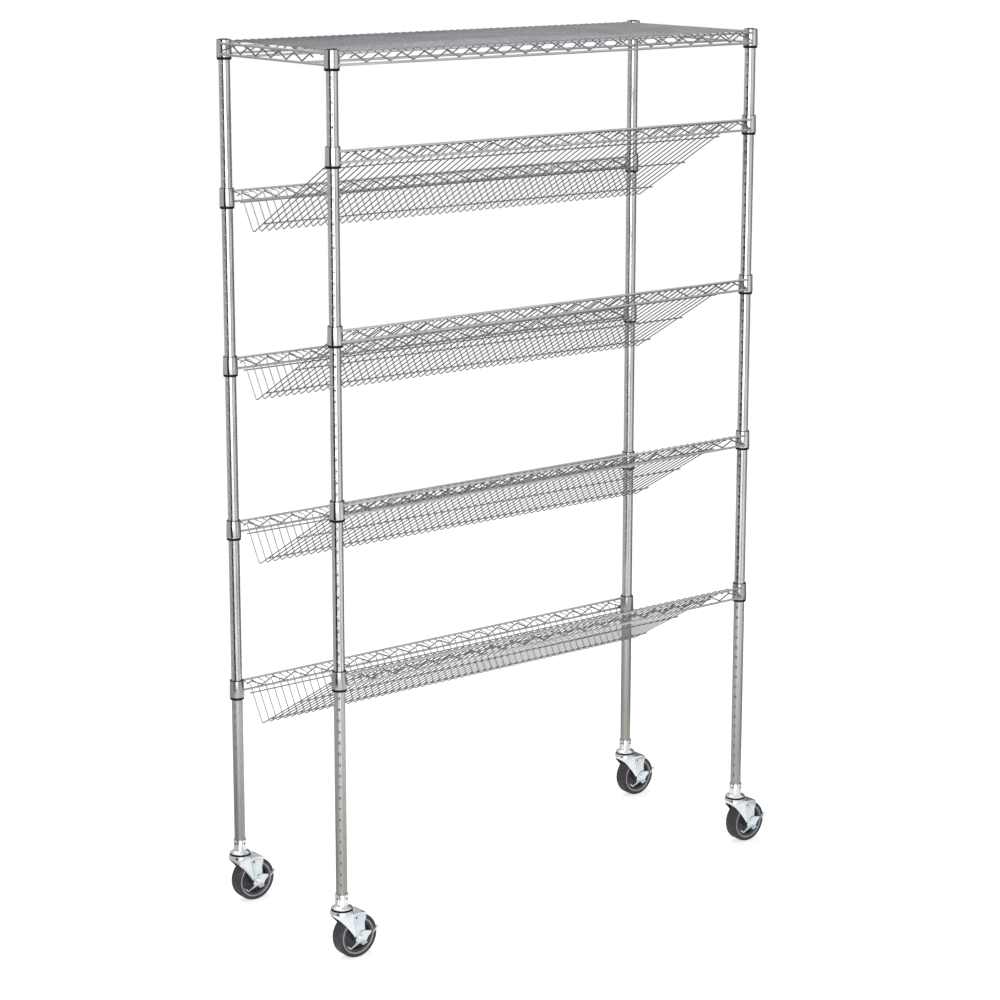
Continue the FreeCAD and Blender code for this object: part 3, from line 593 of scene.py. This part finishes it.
def grooved_tube():
    """Post tube about Z, standing at its foot's height."""
    outline = [(POST_BORE, 0), (POST_RADIUS, 0)]
    for groove in range(1, GROOVE_COUNT + 1):
        middle = groove * GROOVE_PITCH
        outline.append((POST_RADIUS, middle - GROOVE_MOUTH))
        outline.append((POST_RADIUS - GROOVE_DEPTH, middle - GROOVE_FLOOR))
        outline.append((POST_RADIUS - GROOVE_DEPTH, middle + GROOVE_FLOOR))
        outline.append((POST_RADIUS, middle + GROOVE_MOUTH))
    outline += [(POST_RADIUS, POST_LENGTH), (POST_BORE, POST_LENGTH)]
    bm = turned(outline, ROUND_STEPS, closed=True)
    bmesh.ops.translate(bm, verts=bm.verts, vec=(0, 0, POST_FOOT))
    return bm


def number_column():
    """The numbers of all grooves, one above the other, rolled round a post's front."""
    words = bpy.data.curves.new("numbers", "FONT")
    words.body = "\n".join(str(number) for number in range(GROOVE_COUNT, 0, -1))
    words.align_x = "CENTER"
    words.size = NUMBER_SIZE
    words.space_line = GROOVE_PITCH / NUMBER_SIZE
    words.resolution_u = 1
    words.offset = NUMBER_WEIGHT
    words.extrude = NUMBER_PROUD / 2
    carrier = bpy.data.objects.new("numbers", words)
    flat = bpy.data.meshes.new_from_object(carrier)
    bm = bmesh.new()
    bm.from_mesh(flat)
    top = max(vert.co.y for vert in bm.verts)
    low = min(vert.co.y for vert in bm.verts)
    height = top - low - (GROOVE_COUNT - 1) * GROOVE_PITCH
    middle = POST_FOOT + GROOVE_COUNT * GROOVE_PITCH - NUMBER_DROP
    for vert in bm.verts:
        across, along, proud = vert.co
        angle = across * NUMBER_NARROWING / POST_RADIUS
        reach = POST_RADIUS + NUMBER_PROUD / 2 + proud
        vert.co = (reach * math.sin(angle), -reach * math.cos(angle), middle + along - top + height / 2)
    bpy.data.objects.remove(carrier)
    bpy.data.meshes.remove(flat)
    bpy.data.curves.remove(words)
    return bm


def cap():
    """Low domed cap with its plug, at the top of a post."""
    plug_radius = POST_BORE - FIT_GAP
    plug = [(plug_radius, 0.0), (plug_radius, -CAP_PLUG), (0, -CAP_PLUG)]
    bm = turned(CAP_DOME + plug, ROUND_STEPS)
    bmesh.ops.translate(bm, verts=bm.verts, vec=(0, 0, POST_FOOT + POST_LENGTH))
    return bm


def make_posts():
    """Four posts, satin below the lowest shelf, with numbers that face each its own way, and their caps."""
    for side, end in CORNERS:
        corner = "%s_%s" % (side, end)
        bm = bmesh.new()
        add_copies(bm, grooved_tube(), [post_place(side, end)])
        foot_top = LEVELS[-1][side] + RING_TO_GROOVE
        for face in bm.faces:
            face.material_index = 1 if face.calc_center_median().z < foot_top else 0
        hand_over(bm, "grooved_post_" + corner, "frame", [POST_CHROME, SATIN_POST],
                  ["post_" + corner], POST_SHARP_DEG)
        bm = swung(number_column(), -math.radians(NUMBERS_FACE_DEG[corner]))
        bmesh.ops.translate(bm, verts=bm.verts, vec=post_place(side, end))
        ink = INK if side == "near" else WORN_INK
        hand_over(bm, "inch_numbers_" + corner, "frame", [ink], ["post_" + corner])
    bm = bmesh.new()
    add_copies(bm, cap(), [post_place(side, end) for side, end in CORNERS])
    hand_over(bm, "domed_post_caps", "frame", [BLACK], ["post_caps"])


# Sleeves and collars

def around_posts(bm, one, level):
    """Copies of a shape at the four posts, at a shelf level's near and far heights."""
    add_copies(bm, one, [post_place(side, end, LEVELS[level][side]) for side, end in CORNERS])


def half_sleeve():
    """One half shell of a split sleeve, with its rib in the post's groove."""
    bore = POST_RADIUS + FIT_GAP
    rib = POST_RADIUS - GROOVE_DEPTH + FIT_GAP
    outline = [
        (bore, -RING_HALF), (RING_RADIUS - RING_CHAMFER, -RING_HALF),
        (RING_RADIUS, -RING_HALF + RING_CHAMFER), (RING_RADIUS, RING_HALF - RING_CHAMFER),
        (RING_RADIUS - RING_CHAMFER, RING_HALF),
        (SLEEVE_BASE_RADIUS, RING_HALF), (SLEEVE_TIP_RADIUS, SLEEVE_TOP), (bore, SLEEVE_TOP),
        (bore, RING_TO_GROOVE + RIB_MOUTH), (rib, RING_TO_GROOVE + RIB_CREST),
        (rib, RING_TO_GROOVE - RIB_CREST), (bore, RING_TO_GROOVE - RIB_MOUTH),
    ]
    split = math.radians(SLEEVE_SPLIT_DEG)
    bm = turned(outline, ROUND_STEPS // 2, closed=True, angle=math.pi - split)
    return swung(bm, -math.pi / 2 + split / 2)


def collar(top):
    """Tapered collar with softly rolled rims, the top one painted dark as shade."""
    low = RING_HALF
    outline = [
        (COLLAR_LOW_BORE, low), (COLLAR_LOW_RADIUS, low), (COLLAR_TOP_RADIUS, top), (COLLAR_TOP_BORE, top),
    ]
    bm = turned(outline, ROUND_STEPS, closed=True, round_off=COLLAR_ROLL)
    # The top rim's faces take the second material, a painted shade
    for face in bm.faces:
        face.material_index = 1 if face.calc_center_median().z > top - RIM_SHADE_DEPTH else 0
    return bm


def make_sleeves_and_collars():
    """Split sleeves on the frame, and the collars of every shelf."""
    for level in range(len(LEVELS)):
        bm = bmesh.new()
        around_posts(bm, half_sleeve(), level)
        around_posts(bm, swung(half_sleeve(), math.pi), level)
        tier = "tier_%d" % (level + 1)
        hand_over(bm, tier + "_split_sleeves", "frame", [BLACK], [tier + "_sleeves"])
        shelf = "shelf_%d" % (level + 1)
        top = COLLAR_TOP if level else COLLAR_TOP - TOP_COLLAR_DROP
        bm = bmesh.new()
        around_posts(bm, collar(top), level)
        finish = SATIN_COLLAR if level == len(LEVELS) - 1 else COLLAR_CHROME
        hand_over(bm, shelf + "_tapered_collars", shelf, [finish, RIM_PAINTED_SHADE], [shelf + "_collars"])


# Wire shelves

def along_x(y, height):
    """Places a run and a height above the ring in a truss along X."""
    return lambda run, above: Vector((run, y, height + above))


def along_y(x, height):
    """Places a run and a height above the ring in a truss along Y."""
    return lambda run, above: Vector((x, run, height + above))


def corner_rise(slope_in, slope_out):
    """How far a sharp corner stands beyond the crest of its bend."""
    return SNAKE_BEND * (math.cos((slope_in - slope_out) / 2) / math.cos((slope_in + slope_out) / 2) - 1)


def snake_corners(half_run, end_run, crest, trough):
    """Corners of the zigzag between the rails; it ends at end_run, or with a free stub if that is None."""
    slope = 0.0
    for _ in range(SNAKE_SLOPE_ROUNDS):
        rise = corner_rise(slope, slope)
        slope = math.atan2(crest - trough + 2 * rise, SNAKE_PERIOD / 2)
    periods = int(2 * (half_run - SNAKE_SETBACK) / SNAKE_PERIOD)
    half = periods * SNAKE_PERIOD / 2
    stub = crest + rise - SNAKE_STUB * math.tan(slope)
    corners = [(-half - SNAKE_STUB, stub)]
    for index in range(2 * periods + 1):
        corners.append((-half + index * SNAKE_PERIOD / 2, crest + rise if index % 2 == 0 else trough - rise))
    if end_run is None:
        return corners + [(half + SNAKE_STUB, stub)]
    corners[-1] = (half, crest + corner_rise(slope, math.atan2(SNAKE_END_DROP, end_run - half)))
    return corners + [(end_run, crest - SNAKE_END_DROP)]


def add_truss(bm, place, half_run, rail_end, snake_end, room, flanks):
    """Two rails and the zigzag between them; flanks are the planes where their ends meet the collars."""
    shapes = []
    for above in (UPPER_RAIL, LOWER_RAIL):
        shapes.append(wire([place(-rail_end, above), place(rail_end, above)], RAIL_RADIUS, sides=RAIL_SIDES))
    crest = UPPER_RAIL - RAIL_RADIUS - room - SNAKE_RADIUS
    trough = LOWER_RAIL + RAIL_RADIUS + SNAKE_RADIUS
    corners = [place(run, above) for run, above in snake_corners(half_run, snake_end, crest, trough)]
    zigzag = wire(corners, SNAKE_RADIUS, SNAKE_BEND, steps=SNAKE_BEND_STEPS)
    # The zigzag takes the second material, chrome darkened as painted shade
    for face in zigzag.faces:
        face.material_index = 1
    for shape in shapes + [zigzag]:
        for point, normal in flanks:
            mitred(shape, point, normal)
        add_copies(bm, shape, [Vector()])


def long_truss(bm, side, height, room):
    """Truss along X on the outer flank of the near or far collars."""
    out = SIDE_SIGN[side]
    flanks = []
    for sign in (-1, 1):
        point = Vector((sign * (POST_X - FLANK_BACK), out * (POST_Y + FLANK_OUT), height))
        flanks.append((point, Vector((sign * FLANK_ALONG, -out * FLANK_ACROSS, 0))))
    end = POST_X - RAIL_REACH
    add_truss(bm, along_x(out * RAIL_Y, height), POST_X, end, end, room, flanks)


def end_truss(bm, end, height):
    """Truss along Y on the outer flank of the left or right collars."""
    out = SIDE_SIGN[end]
    flanks = []
    for sign in (-1, 1):
        point = Vector((out * (POST_X + FLANK_OUT), sign * (POST_Y - FLANK_BACK), height))
        flanks.append((point, Vector((-out * FLANK_ACROSS, sign * FLANK_ALONG, 0))))
    reach = POST_Y - RAIL_REACH
    add_truss(bm, along_y(out * RAIL_X, height), POST_Y, reach, reach, 0, flanks)


def spread(count, pitch):
    """Moves along X for evenly spaced wires."""
    return [Vector(((index - (count - 1) / 2) * pitch, 0, 0)) for index in range(count)]


def make_top_shelf():
    """Flat top shelf: rim and inner trusses, and the deck wires bent down over the outer rails."""
    height = LEVELS[0]["near"]
    bm = bmesh.new()
    for side in ("near", "far"):
        long_truss(bm, side, height, 0)
    for end in ("left", "right"):
        end_truss(bm, end, height)
    hand_over(bm, "shelf_1_rims", "shelf_1", [RAIL_CHROME, SNAKE_CHROME_PAINTED_SHADE],
              ["shelf_1_rim_trusses"])
    reach = RAIL_X - RAIL_RADIUS + INNER_RAIL_BITE
    bm = bmesh.new()
    for sign in (-1, 1):
        add_truss(bm, along_x(sign * INNER_TRUSS_Y, height), POST_X, reach, None, 0, [])
    hand_over(bm, "shelf_1_inner_stays", "shelf_1", [RAIL_CHROME, SNAKE_CHROME_PAINTED_SHADE],
              ["shelf_1_inner_trusses"])
    level = height + UPPER_RAIL
    over = RAIL_RADIUS + WIRE_RADIUS
    edge = RAIL_Y + over
    corners = [
        Vector((0, -edge, level - DECK_END_RUN)), Vector((0, -edge, level + over)),
        Vector((0, edge, level + over)), Vector((0, edge, level - DECK_END_RUN)),
    ]
    bm = bmesh.new()
    add_copies(bm, wire(corners, WIRE_RADIUS, over), spread(DECK_COUNT, DECK_PITCH))
    # The deck wires' chrome is darkened as painted shade
    hand_over(bm, "shelf_1_deck", "shelf_1", [DECK_CHROME_PAINTED_SHADE], ["shelf_1_deck_wires"])


def make_slanted_shelf(level):
    """Slanted shelf: two long trusses, the wires bent to a V, and the stringers that tie them."""
    shelf = "shelf_%d" % (level + 1)
    bm = bmesh.new()
    for side in ("near", "far"):
        long_truss(bm, side, LEVELS[level][side], 2 * WIRE_RADIUS)
    hand_over(bm, shelf + "_rims", shelf, [RAIL_CHROME, SNAKE_CHROME_PAINTED_SHADE], [shelf + "_trusses"])
    under = UPPER_RAIL - RAIL_RADIUS - WIRE_RADIUS
    near = Vector((0, -RAIL_Y + V_FLANGE, LEVELS[level]["near"] + under))
    far = Vector((0, RAIL_Y - V_FLANGE, LEVELS[level]["far"] + under))
    angle = math.radians(V_SLOPE_DEG)
    slope = Vector((0, math.cos(angle), -math.sin(angle)))
    lip = Vector((0, math.sin(angle), math.cos(angle)))
    vertex = near + slope * (far - near).dot(slope)
    flange = Vector((0, V_FLANGE + V_OVERHANG, 0))
    bm = bmesh.new()
    one = wire([near - flange, near, vertex, far, far + flange], WIRE_RADIUS, V_BEND)
    # Painted shade: the near flange and long slope take chrome darkened as shade; past the V's bottom the lip
    # keeps a lighter chrome
    for face in one.faces:
        face.material_index = 1 if face.calc_center_median().y > vertex.y else 0
    add_copies(bm, one, spread(V_COUNT, V_PITCH))
    hand_over(bm, shelf + "_bent_wires", shelf, [SLOPE_CHROME_PAINTED_SHADE, LIP_CHROME],
              [shelf + "_v_wires"])
    below = WIRE_RADIUS + STRINGER_RADIUS
    centres = [near + slope * distance - lip * below for distance in STRINGERS]
    centres.append(far - lip * LIP_STRINGER_DROP + slope * below)
    half = Vector((STRINGER_X, 0, 0))
    bm = bmesh.new()
    for centre in centres:
        tie = wire([centre - half, centre + half], STRINGER_RADIUS, sides=STRINGER_SIDES)
        add_copies(bm, tie, [Vector()])
    # The tie wires' chrome is darkened as painted shade
    hand_over(bm, shelf + "_tie_wires", shelf, [TIE_CHROME_PAINTED_SHADE], [shelf + "_stringers"])


# Casters, made once about a post's axis and copied to the four corners

def drilled(bm, tools):
    """The shape with the tools cut out of it."""
    pair = [linked(shape, "drilling") for shape in (bm, tools)]
    cut = pair[0].modifiers.new("holes", "BOOLEAN")
    cut.operation = "DIFFERENCE"
    cut.solver = "EXACT"
    cut.object = pair[1]
    seen = pair[0].evaluated_get(bpy.context.evaluated_depsgraph_get())
    result = bmesh.new()
    result.from_mesh(seen.data)
    for item in pair:
        mesh = item.data
        bpy.data.objects.remove(item)
        bpy.data.meshes.remove(mesh)
    return result


def crosswise(bm, radius, length, angle_deg, reach, height):
    """Adds a round bar that lies outwards from the post's axis, its inner end at a radius."""
    angle = math.radians(angle_deg)
    out = Vector((math.cos(angle), math.sin(angle), 0))
    middle = out * (reach + length / 2) + UP * height
    lie = Matrix.Translation(middle) @ out.to_track_quat("Z", "Y").to_matrix().to_4x4()
    bmesh.ops.create_cone(bm, cap_ends=True, segments=BAR_STEPS, radius1=radius, radius2=radius, depth=length,
                          matrix=lie)


def socket():
    """Drilled cup for the post's foot, on its domed race flange and kingpin."""
    bore = POST_RADIUS + FIT_GAP
    kingpin = [(0, KINGPIN_FOOT), (KINGPIN_RADIUS, KINGPIN_FOOT), (KINGPIN_RADIUS, FLANGE_BOTTOM)]
    flange = [(FLANGE_RADIUS, FLANGE_BOTTOM), (FLANGE_RADIUS, FLANGE_BOTTOM + FLANGE_RIM)]
    cup = [(SOCKET_RADIUS, SOCKET_TOP), (bore, SOCKET_TOP), (bore, POST_FOOT), (0, POST_FOOT)]
    bm = turned(kingpin + flange + SOCKET_DOME + cup, CASTER_STEPS, round_off=SOCKET_ROUNDING)
    holes = bmesh.new()
    for angle in SOCKET_HOLES_DEG:
        crosswise(holes, SOCKET_HOLE_RADIUS, DRILL_LENGTH, angle, DRILL_START, SOCKET_HOLE_HEIGHT)
    return drilled(bm, holes)


def hole_pins():
    """Dark discs in the socket's holes, just outside the post: painted shade for the dark inside of the
    holes.
    """
    bm = bmesh.new()
    for angle in SOCKET_HOLES_DEG:
        crosswise(bm, HOLE_SHADE_RADIUS, HOLE_SHADE_LENGTH, angle, POST_RADIUS + HOLE_SHADE_GAP, SOCKET_HOLE_HEIGHT)
    return bm


def seal():
    """Dust seal with a shallow groove round it."""
    outline = [(SEAL_BORE, CROWN_TOP), (SEAL_RADIUS, CROWN_TOP)] + SEAL_GROOVE
    outline += [(SEAL_RADIUS, SEAL_TOP), (SEAL_BORE, SEAL_TOP)]
    return turned(outline, CASTER_STEPS, closed=True, round_off=SEAL_ROUNDING)


def axle():
    """Bolt with a domed head, its nut, and the spacer tube in the hub."""
    bm = laid_over(turned(BOLT, BOLT_STEPS, round_off=BOLT_ROUNDING))
    nut = bmesh.new()
    lie = Matrix.Translation((TRAIL, NUT_MIDDLE, AXLE)) @ Matrix.Rotation(math.pi / 2, 4, "X")
    bmesh.ops.create_cone(nut, cap_ends=True, segments=6, radius1=NUT_RADIUS, radius2=NUT_RADIUS,
                          depth=NUT_THICKNESS, matrix=lie)
    add_copies(bm, soften(nut, NUT_ROUNDING), [Vector()])
    spacer = mirrored([(SPACER_BORE, SPACER_HALF), (SPACER_RADIUS, SPACER_HALF)])
    add_copies(bm, laid_over(turned(spacer, BOLT_STEPS, closed=True)), [Vector()])
    return bm


def wheel_core():
    """Dished wheel centre with a raised hub and rim."""
    return laid_over(turned(mirrored(CORE_HALF), CORE_STEPS, closed=True, round_off=CORE_ROUNDING))


def tyre():
    """Tread ring with rounded shoulders and a pale bead near the core."""
    bm = laid_over(turned(mirrored(TYRE_HALF), TYRE_STEPS, closed=True))
    for face in bm.faces:
        centre = face.calc_center_median()
        reach = math.hypot(centre.x - TRAIL, centre.z - AXLE)
        beaded = BEAD_INNER < reach < BEAD_OUTER and abs(centre.y) > BEAD_FACE
        face.material_index = 1 if beaded else 0
    return bm


def is_bracket(face):
    """Whether a face of the fork's node belongs to the brake bracket outside its leg."""
    flush = all(vert.co.y > LEG_FACE - LEG_FACE_SLACK for vert in face.verts)
    outside = all(vert.co.y < LEG_FACE + LEG_FACE_SLACK for vert in face.verts)
    return outside and not (flush and face.normal.y < 0)


def make_casters():
    """Four casters with their swivels, wheels and brake levers."""
    first = post_place(*CORNERS[0])
    fork = cad_copy("caster_near_left_fork", first, lambda face: not is_bracket(face))
    bracket = cad_copy("caster_near_left_fork", first, is_bracket)
    lever = cad_copy("caster_near_left_brake_lever", first)
    kinds = [
        ("drilled_socket", socket(), "frame", "zinc_steel", [ZINC], "socket"),
        # The dark discs in the socket's holes are painted shade
        ("socket_hole_painted_shade", hole_pins(), "frame", "zinc_steel", [PAINTED_HOLE_SHADE], "socket"),
        ("dust_seal", seal(), "swivel", "seal_rubber", [BLACK], "seal"),
        ("pressed_fork", soften(fork, FORK_ROUNDING), "swivel", "zinc_steel", [ZINC], "fork"),
        ("brake_bracket", soften(bracket, BRACKET_ROUNDING), "swivel", "zinc_steel", [BLUE_ZINC], "fork"),
        ("axle_bolt", axle(), "swivel", "zinc_steel", [ZINC], "axle"),
        ("dished_core", wheel_core(), "wheel", "grey_core", [CORE], "wheel_core"),
        ("tread", tyre(), "wheel", "tyre_rubber", [RUBBER, BEAD], "tyre"),
        ("pedal_lever", soften(lever, LEVER_ROUNDING), "brake", "zinc_lever", [BLUE_ZINC], "brake_lever"),
    ]
    for name, shape, body, slot, materials, node in kinds:
        for side, end in CORNERS:
            caster = "caster_%s_%s_" % (side, end)
            bm = bmesh.new()
            add_copies(bm, shape.copy(), [post_place(side, end)])
            body_name = "frame" if body == "frame" else caster + body
            hand_over(bm, caster + name, body_name, materials, [caster + node])
        shape.free()


make_posts()
make_sleeves_and_collars()
make_top_shelf()
for shelf_level in range(1, len(LEVELS)):
    make_slanted_shelf(shelf_level)
make_casters()


# Studio: floor, surroundings, soft lights, cards that are seen only in reflections, and the camera

def background_ray(tree):
    """1 for what the camera sees directly or in plating and clear things."""
    path = tree.nodes.new("ShaderNodeLightPath")
    total = path.outputs["Is Camera Ray"]
    for kind in ("Is Glossy Ray", "Is Transmission Ray"):
        more = tree.nodes.new("ShaderNodeMath")
        more.operation = "MAXIMUM"
        tree.links.new(total, more.inputs[0])
        tree.links.new(path.outputs[kind], more.inputs[1])
        total = more.outputs[0]
    return total


def bare_material(name):
    """New material whose output is still open, with its tree."""
    material = bpy.data.materials.new(name)
    material.use_nodes = True
    tree = material.node_tree
    tree.nodes.remove(tree.nodes["Principled BSDF"])
    return material, tree


def make_floor():
    """Wide pale floor that shows white to the camera and keeps the rack's shadow."""
    bm = bmesh.new()
    bmesh.ops.create_grid(bm, x_segments=1, y_segments=1, size=FLOOR_HALF)
    floor = linked(bm, "floor")
    material, tree = bare_material("studio floor")
    matt = tree.nodes.new("ShaderNodeBsdfDiffuse")
    matt.inputs["Color"].default_value = (FLOOR_TONE, FLOOR_TONE, FLOOR_TONE, 1)
    glow = tree.nodes.new("ShaderNodeEmission")
    level = tree.nodes.new("ShaderNodeMath")
    level.operation = "MULTIPLY"
    level.inputs[1].default_value = FLOOR_LIFT
    tree.links.new(background_ray(tree), level.inputs[0])
    tree.links.new(level.outputs[0], glow.inputs["Strength"])
    both = tree.nodes.new("ShaderNodeAddShader")
    tree.links.new(matt.outputs[0], both.inputs[0])
    tree.links.new(glow.outputs[0], both.inputs[1])
    tree.links.new(both.outputs[0], tree.nodes["Material Output"].inputs["Surface"])
    floor.data.materials.append(material)


def make_world():
    """Even white surroundings: white where it is seen, softer as a light."""
    world = bpy.data.worlds.new("studio")
    bpy.context.scene.world = world
    world.use_nodes = True
    tree = world.node_tree
    sky = tree.nodes["Background"]
    sky.inputs["Color"].default_value = (1, 1, 1, 1)
    reach = tree.nodes.new("ShaderNodeMapRange")
    reach.inputs["To Min"].default_value = WORLD_LIGHT
    reach.inputs["To Max"].default_value = 1.0
    tree.links.new(background_ray(tree), reach.inputs["Value"])
    tree.links.new(reach.outputs["Result"], sky.inputs["Strength"])


def make_card(name, first_deg, last_deg, near, high, shade):
    """Card round a part of the rack, flat on the floor and then upright, seen only in reflections."""
    bm = bmesh.new()
    profile = ((near, 0, CARD_LIFT), (CARD_FAR, 0, CARD_LIFT), (CARD_FAR, 0, high))
    start = Matrix.Rotation(math.radians(first_deg), 3, "Z")
    corners = [bm.verts.new(start @ Vector(point)) for point in profile]
    for pair in zip(corners, corners[1:]):
        bm.edges.new(pair)
    bmesh.ops.spin(bm, geom=bm.verts[:] + bm.edges[:], cent=(0, 0, 0), axis=UP,
                   angle=math.radians(last_deg - first_deg), steps=CARD_STEPS)
    card = linked(bm, name)
    material, tree = bare_material(name)
    glow = tree.nodes.new("ShaderNodeEmission")
    glow.inputs["Color"].default_value = (shade, shade, shade, 1)
    tree.links.new(glow.outputs[0], tree.nodes["Material Output"].inputs["Surface"])
    card.data.materials.append(material)
    for kind in ("camera", "diffuse", "transmission", "volume_scatter", "shadow"):
        setattr(card, "visible_" + kind, False)


def make_softbox(name, angle_deg, away, height, width, tall, watts):
    """Soft lamp aimed at the middle of the rack."""
    lamp = bpy.data.lights.new(name, "AREA")
    lamp.shape = "RECTANGLE"
    lamp.size = width
    lamp.size_y = tall
    lamp.energy = watts
    angle = math.radians(angle_deg)
    box = bpy.data.objects.new(name, lamp)
    box.location = (away * math.cos(angle), away * math.sin(angle), height)
    box.rotation_euler = (UP * AIM_HEIGHT - box.location).to_track_quat("-Z", "Y").to_euler()
    box.visible_camera = False
    bpy.context.scene.collection.objects.link(box)


def make_camera():
    """Camera on the loading side, left of the rack and a little above it."""
    data = bpy.data.cameras.new("camera")
    data.sensor_width = SENSOR_WIDTH
    data.lens = CAMERA_FOCUS * SENSOR_WIDTH / PICTURE_WIDTH
    data.shift_x, data.shift_y = CAMERA_SHIFT
    data.clip_start = 0.1
    data.clip_end = 200.0
    camera = bpy.data.objects.new("camera", data)
    camera.location = Vector(CAMERA_PLACE) * MM
    camera.rotation_euler = (math.pi / 2 - CAMERA_PITCH, 0, -CAMERA_YAW)
    bpy.context.scene.collection.objects.link(camera)
    bpy.context.scene.camera = camera


make_floor()
make_world()
for softbox_values in SOFTBOXES:
    make_softbox(*softbox_values)
for card_values in CARDS:
    make_card(*card_values)
make_camera()
bpy.context.scene.view_settings.view_transform = "Standard"
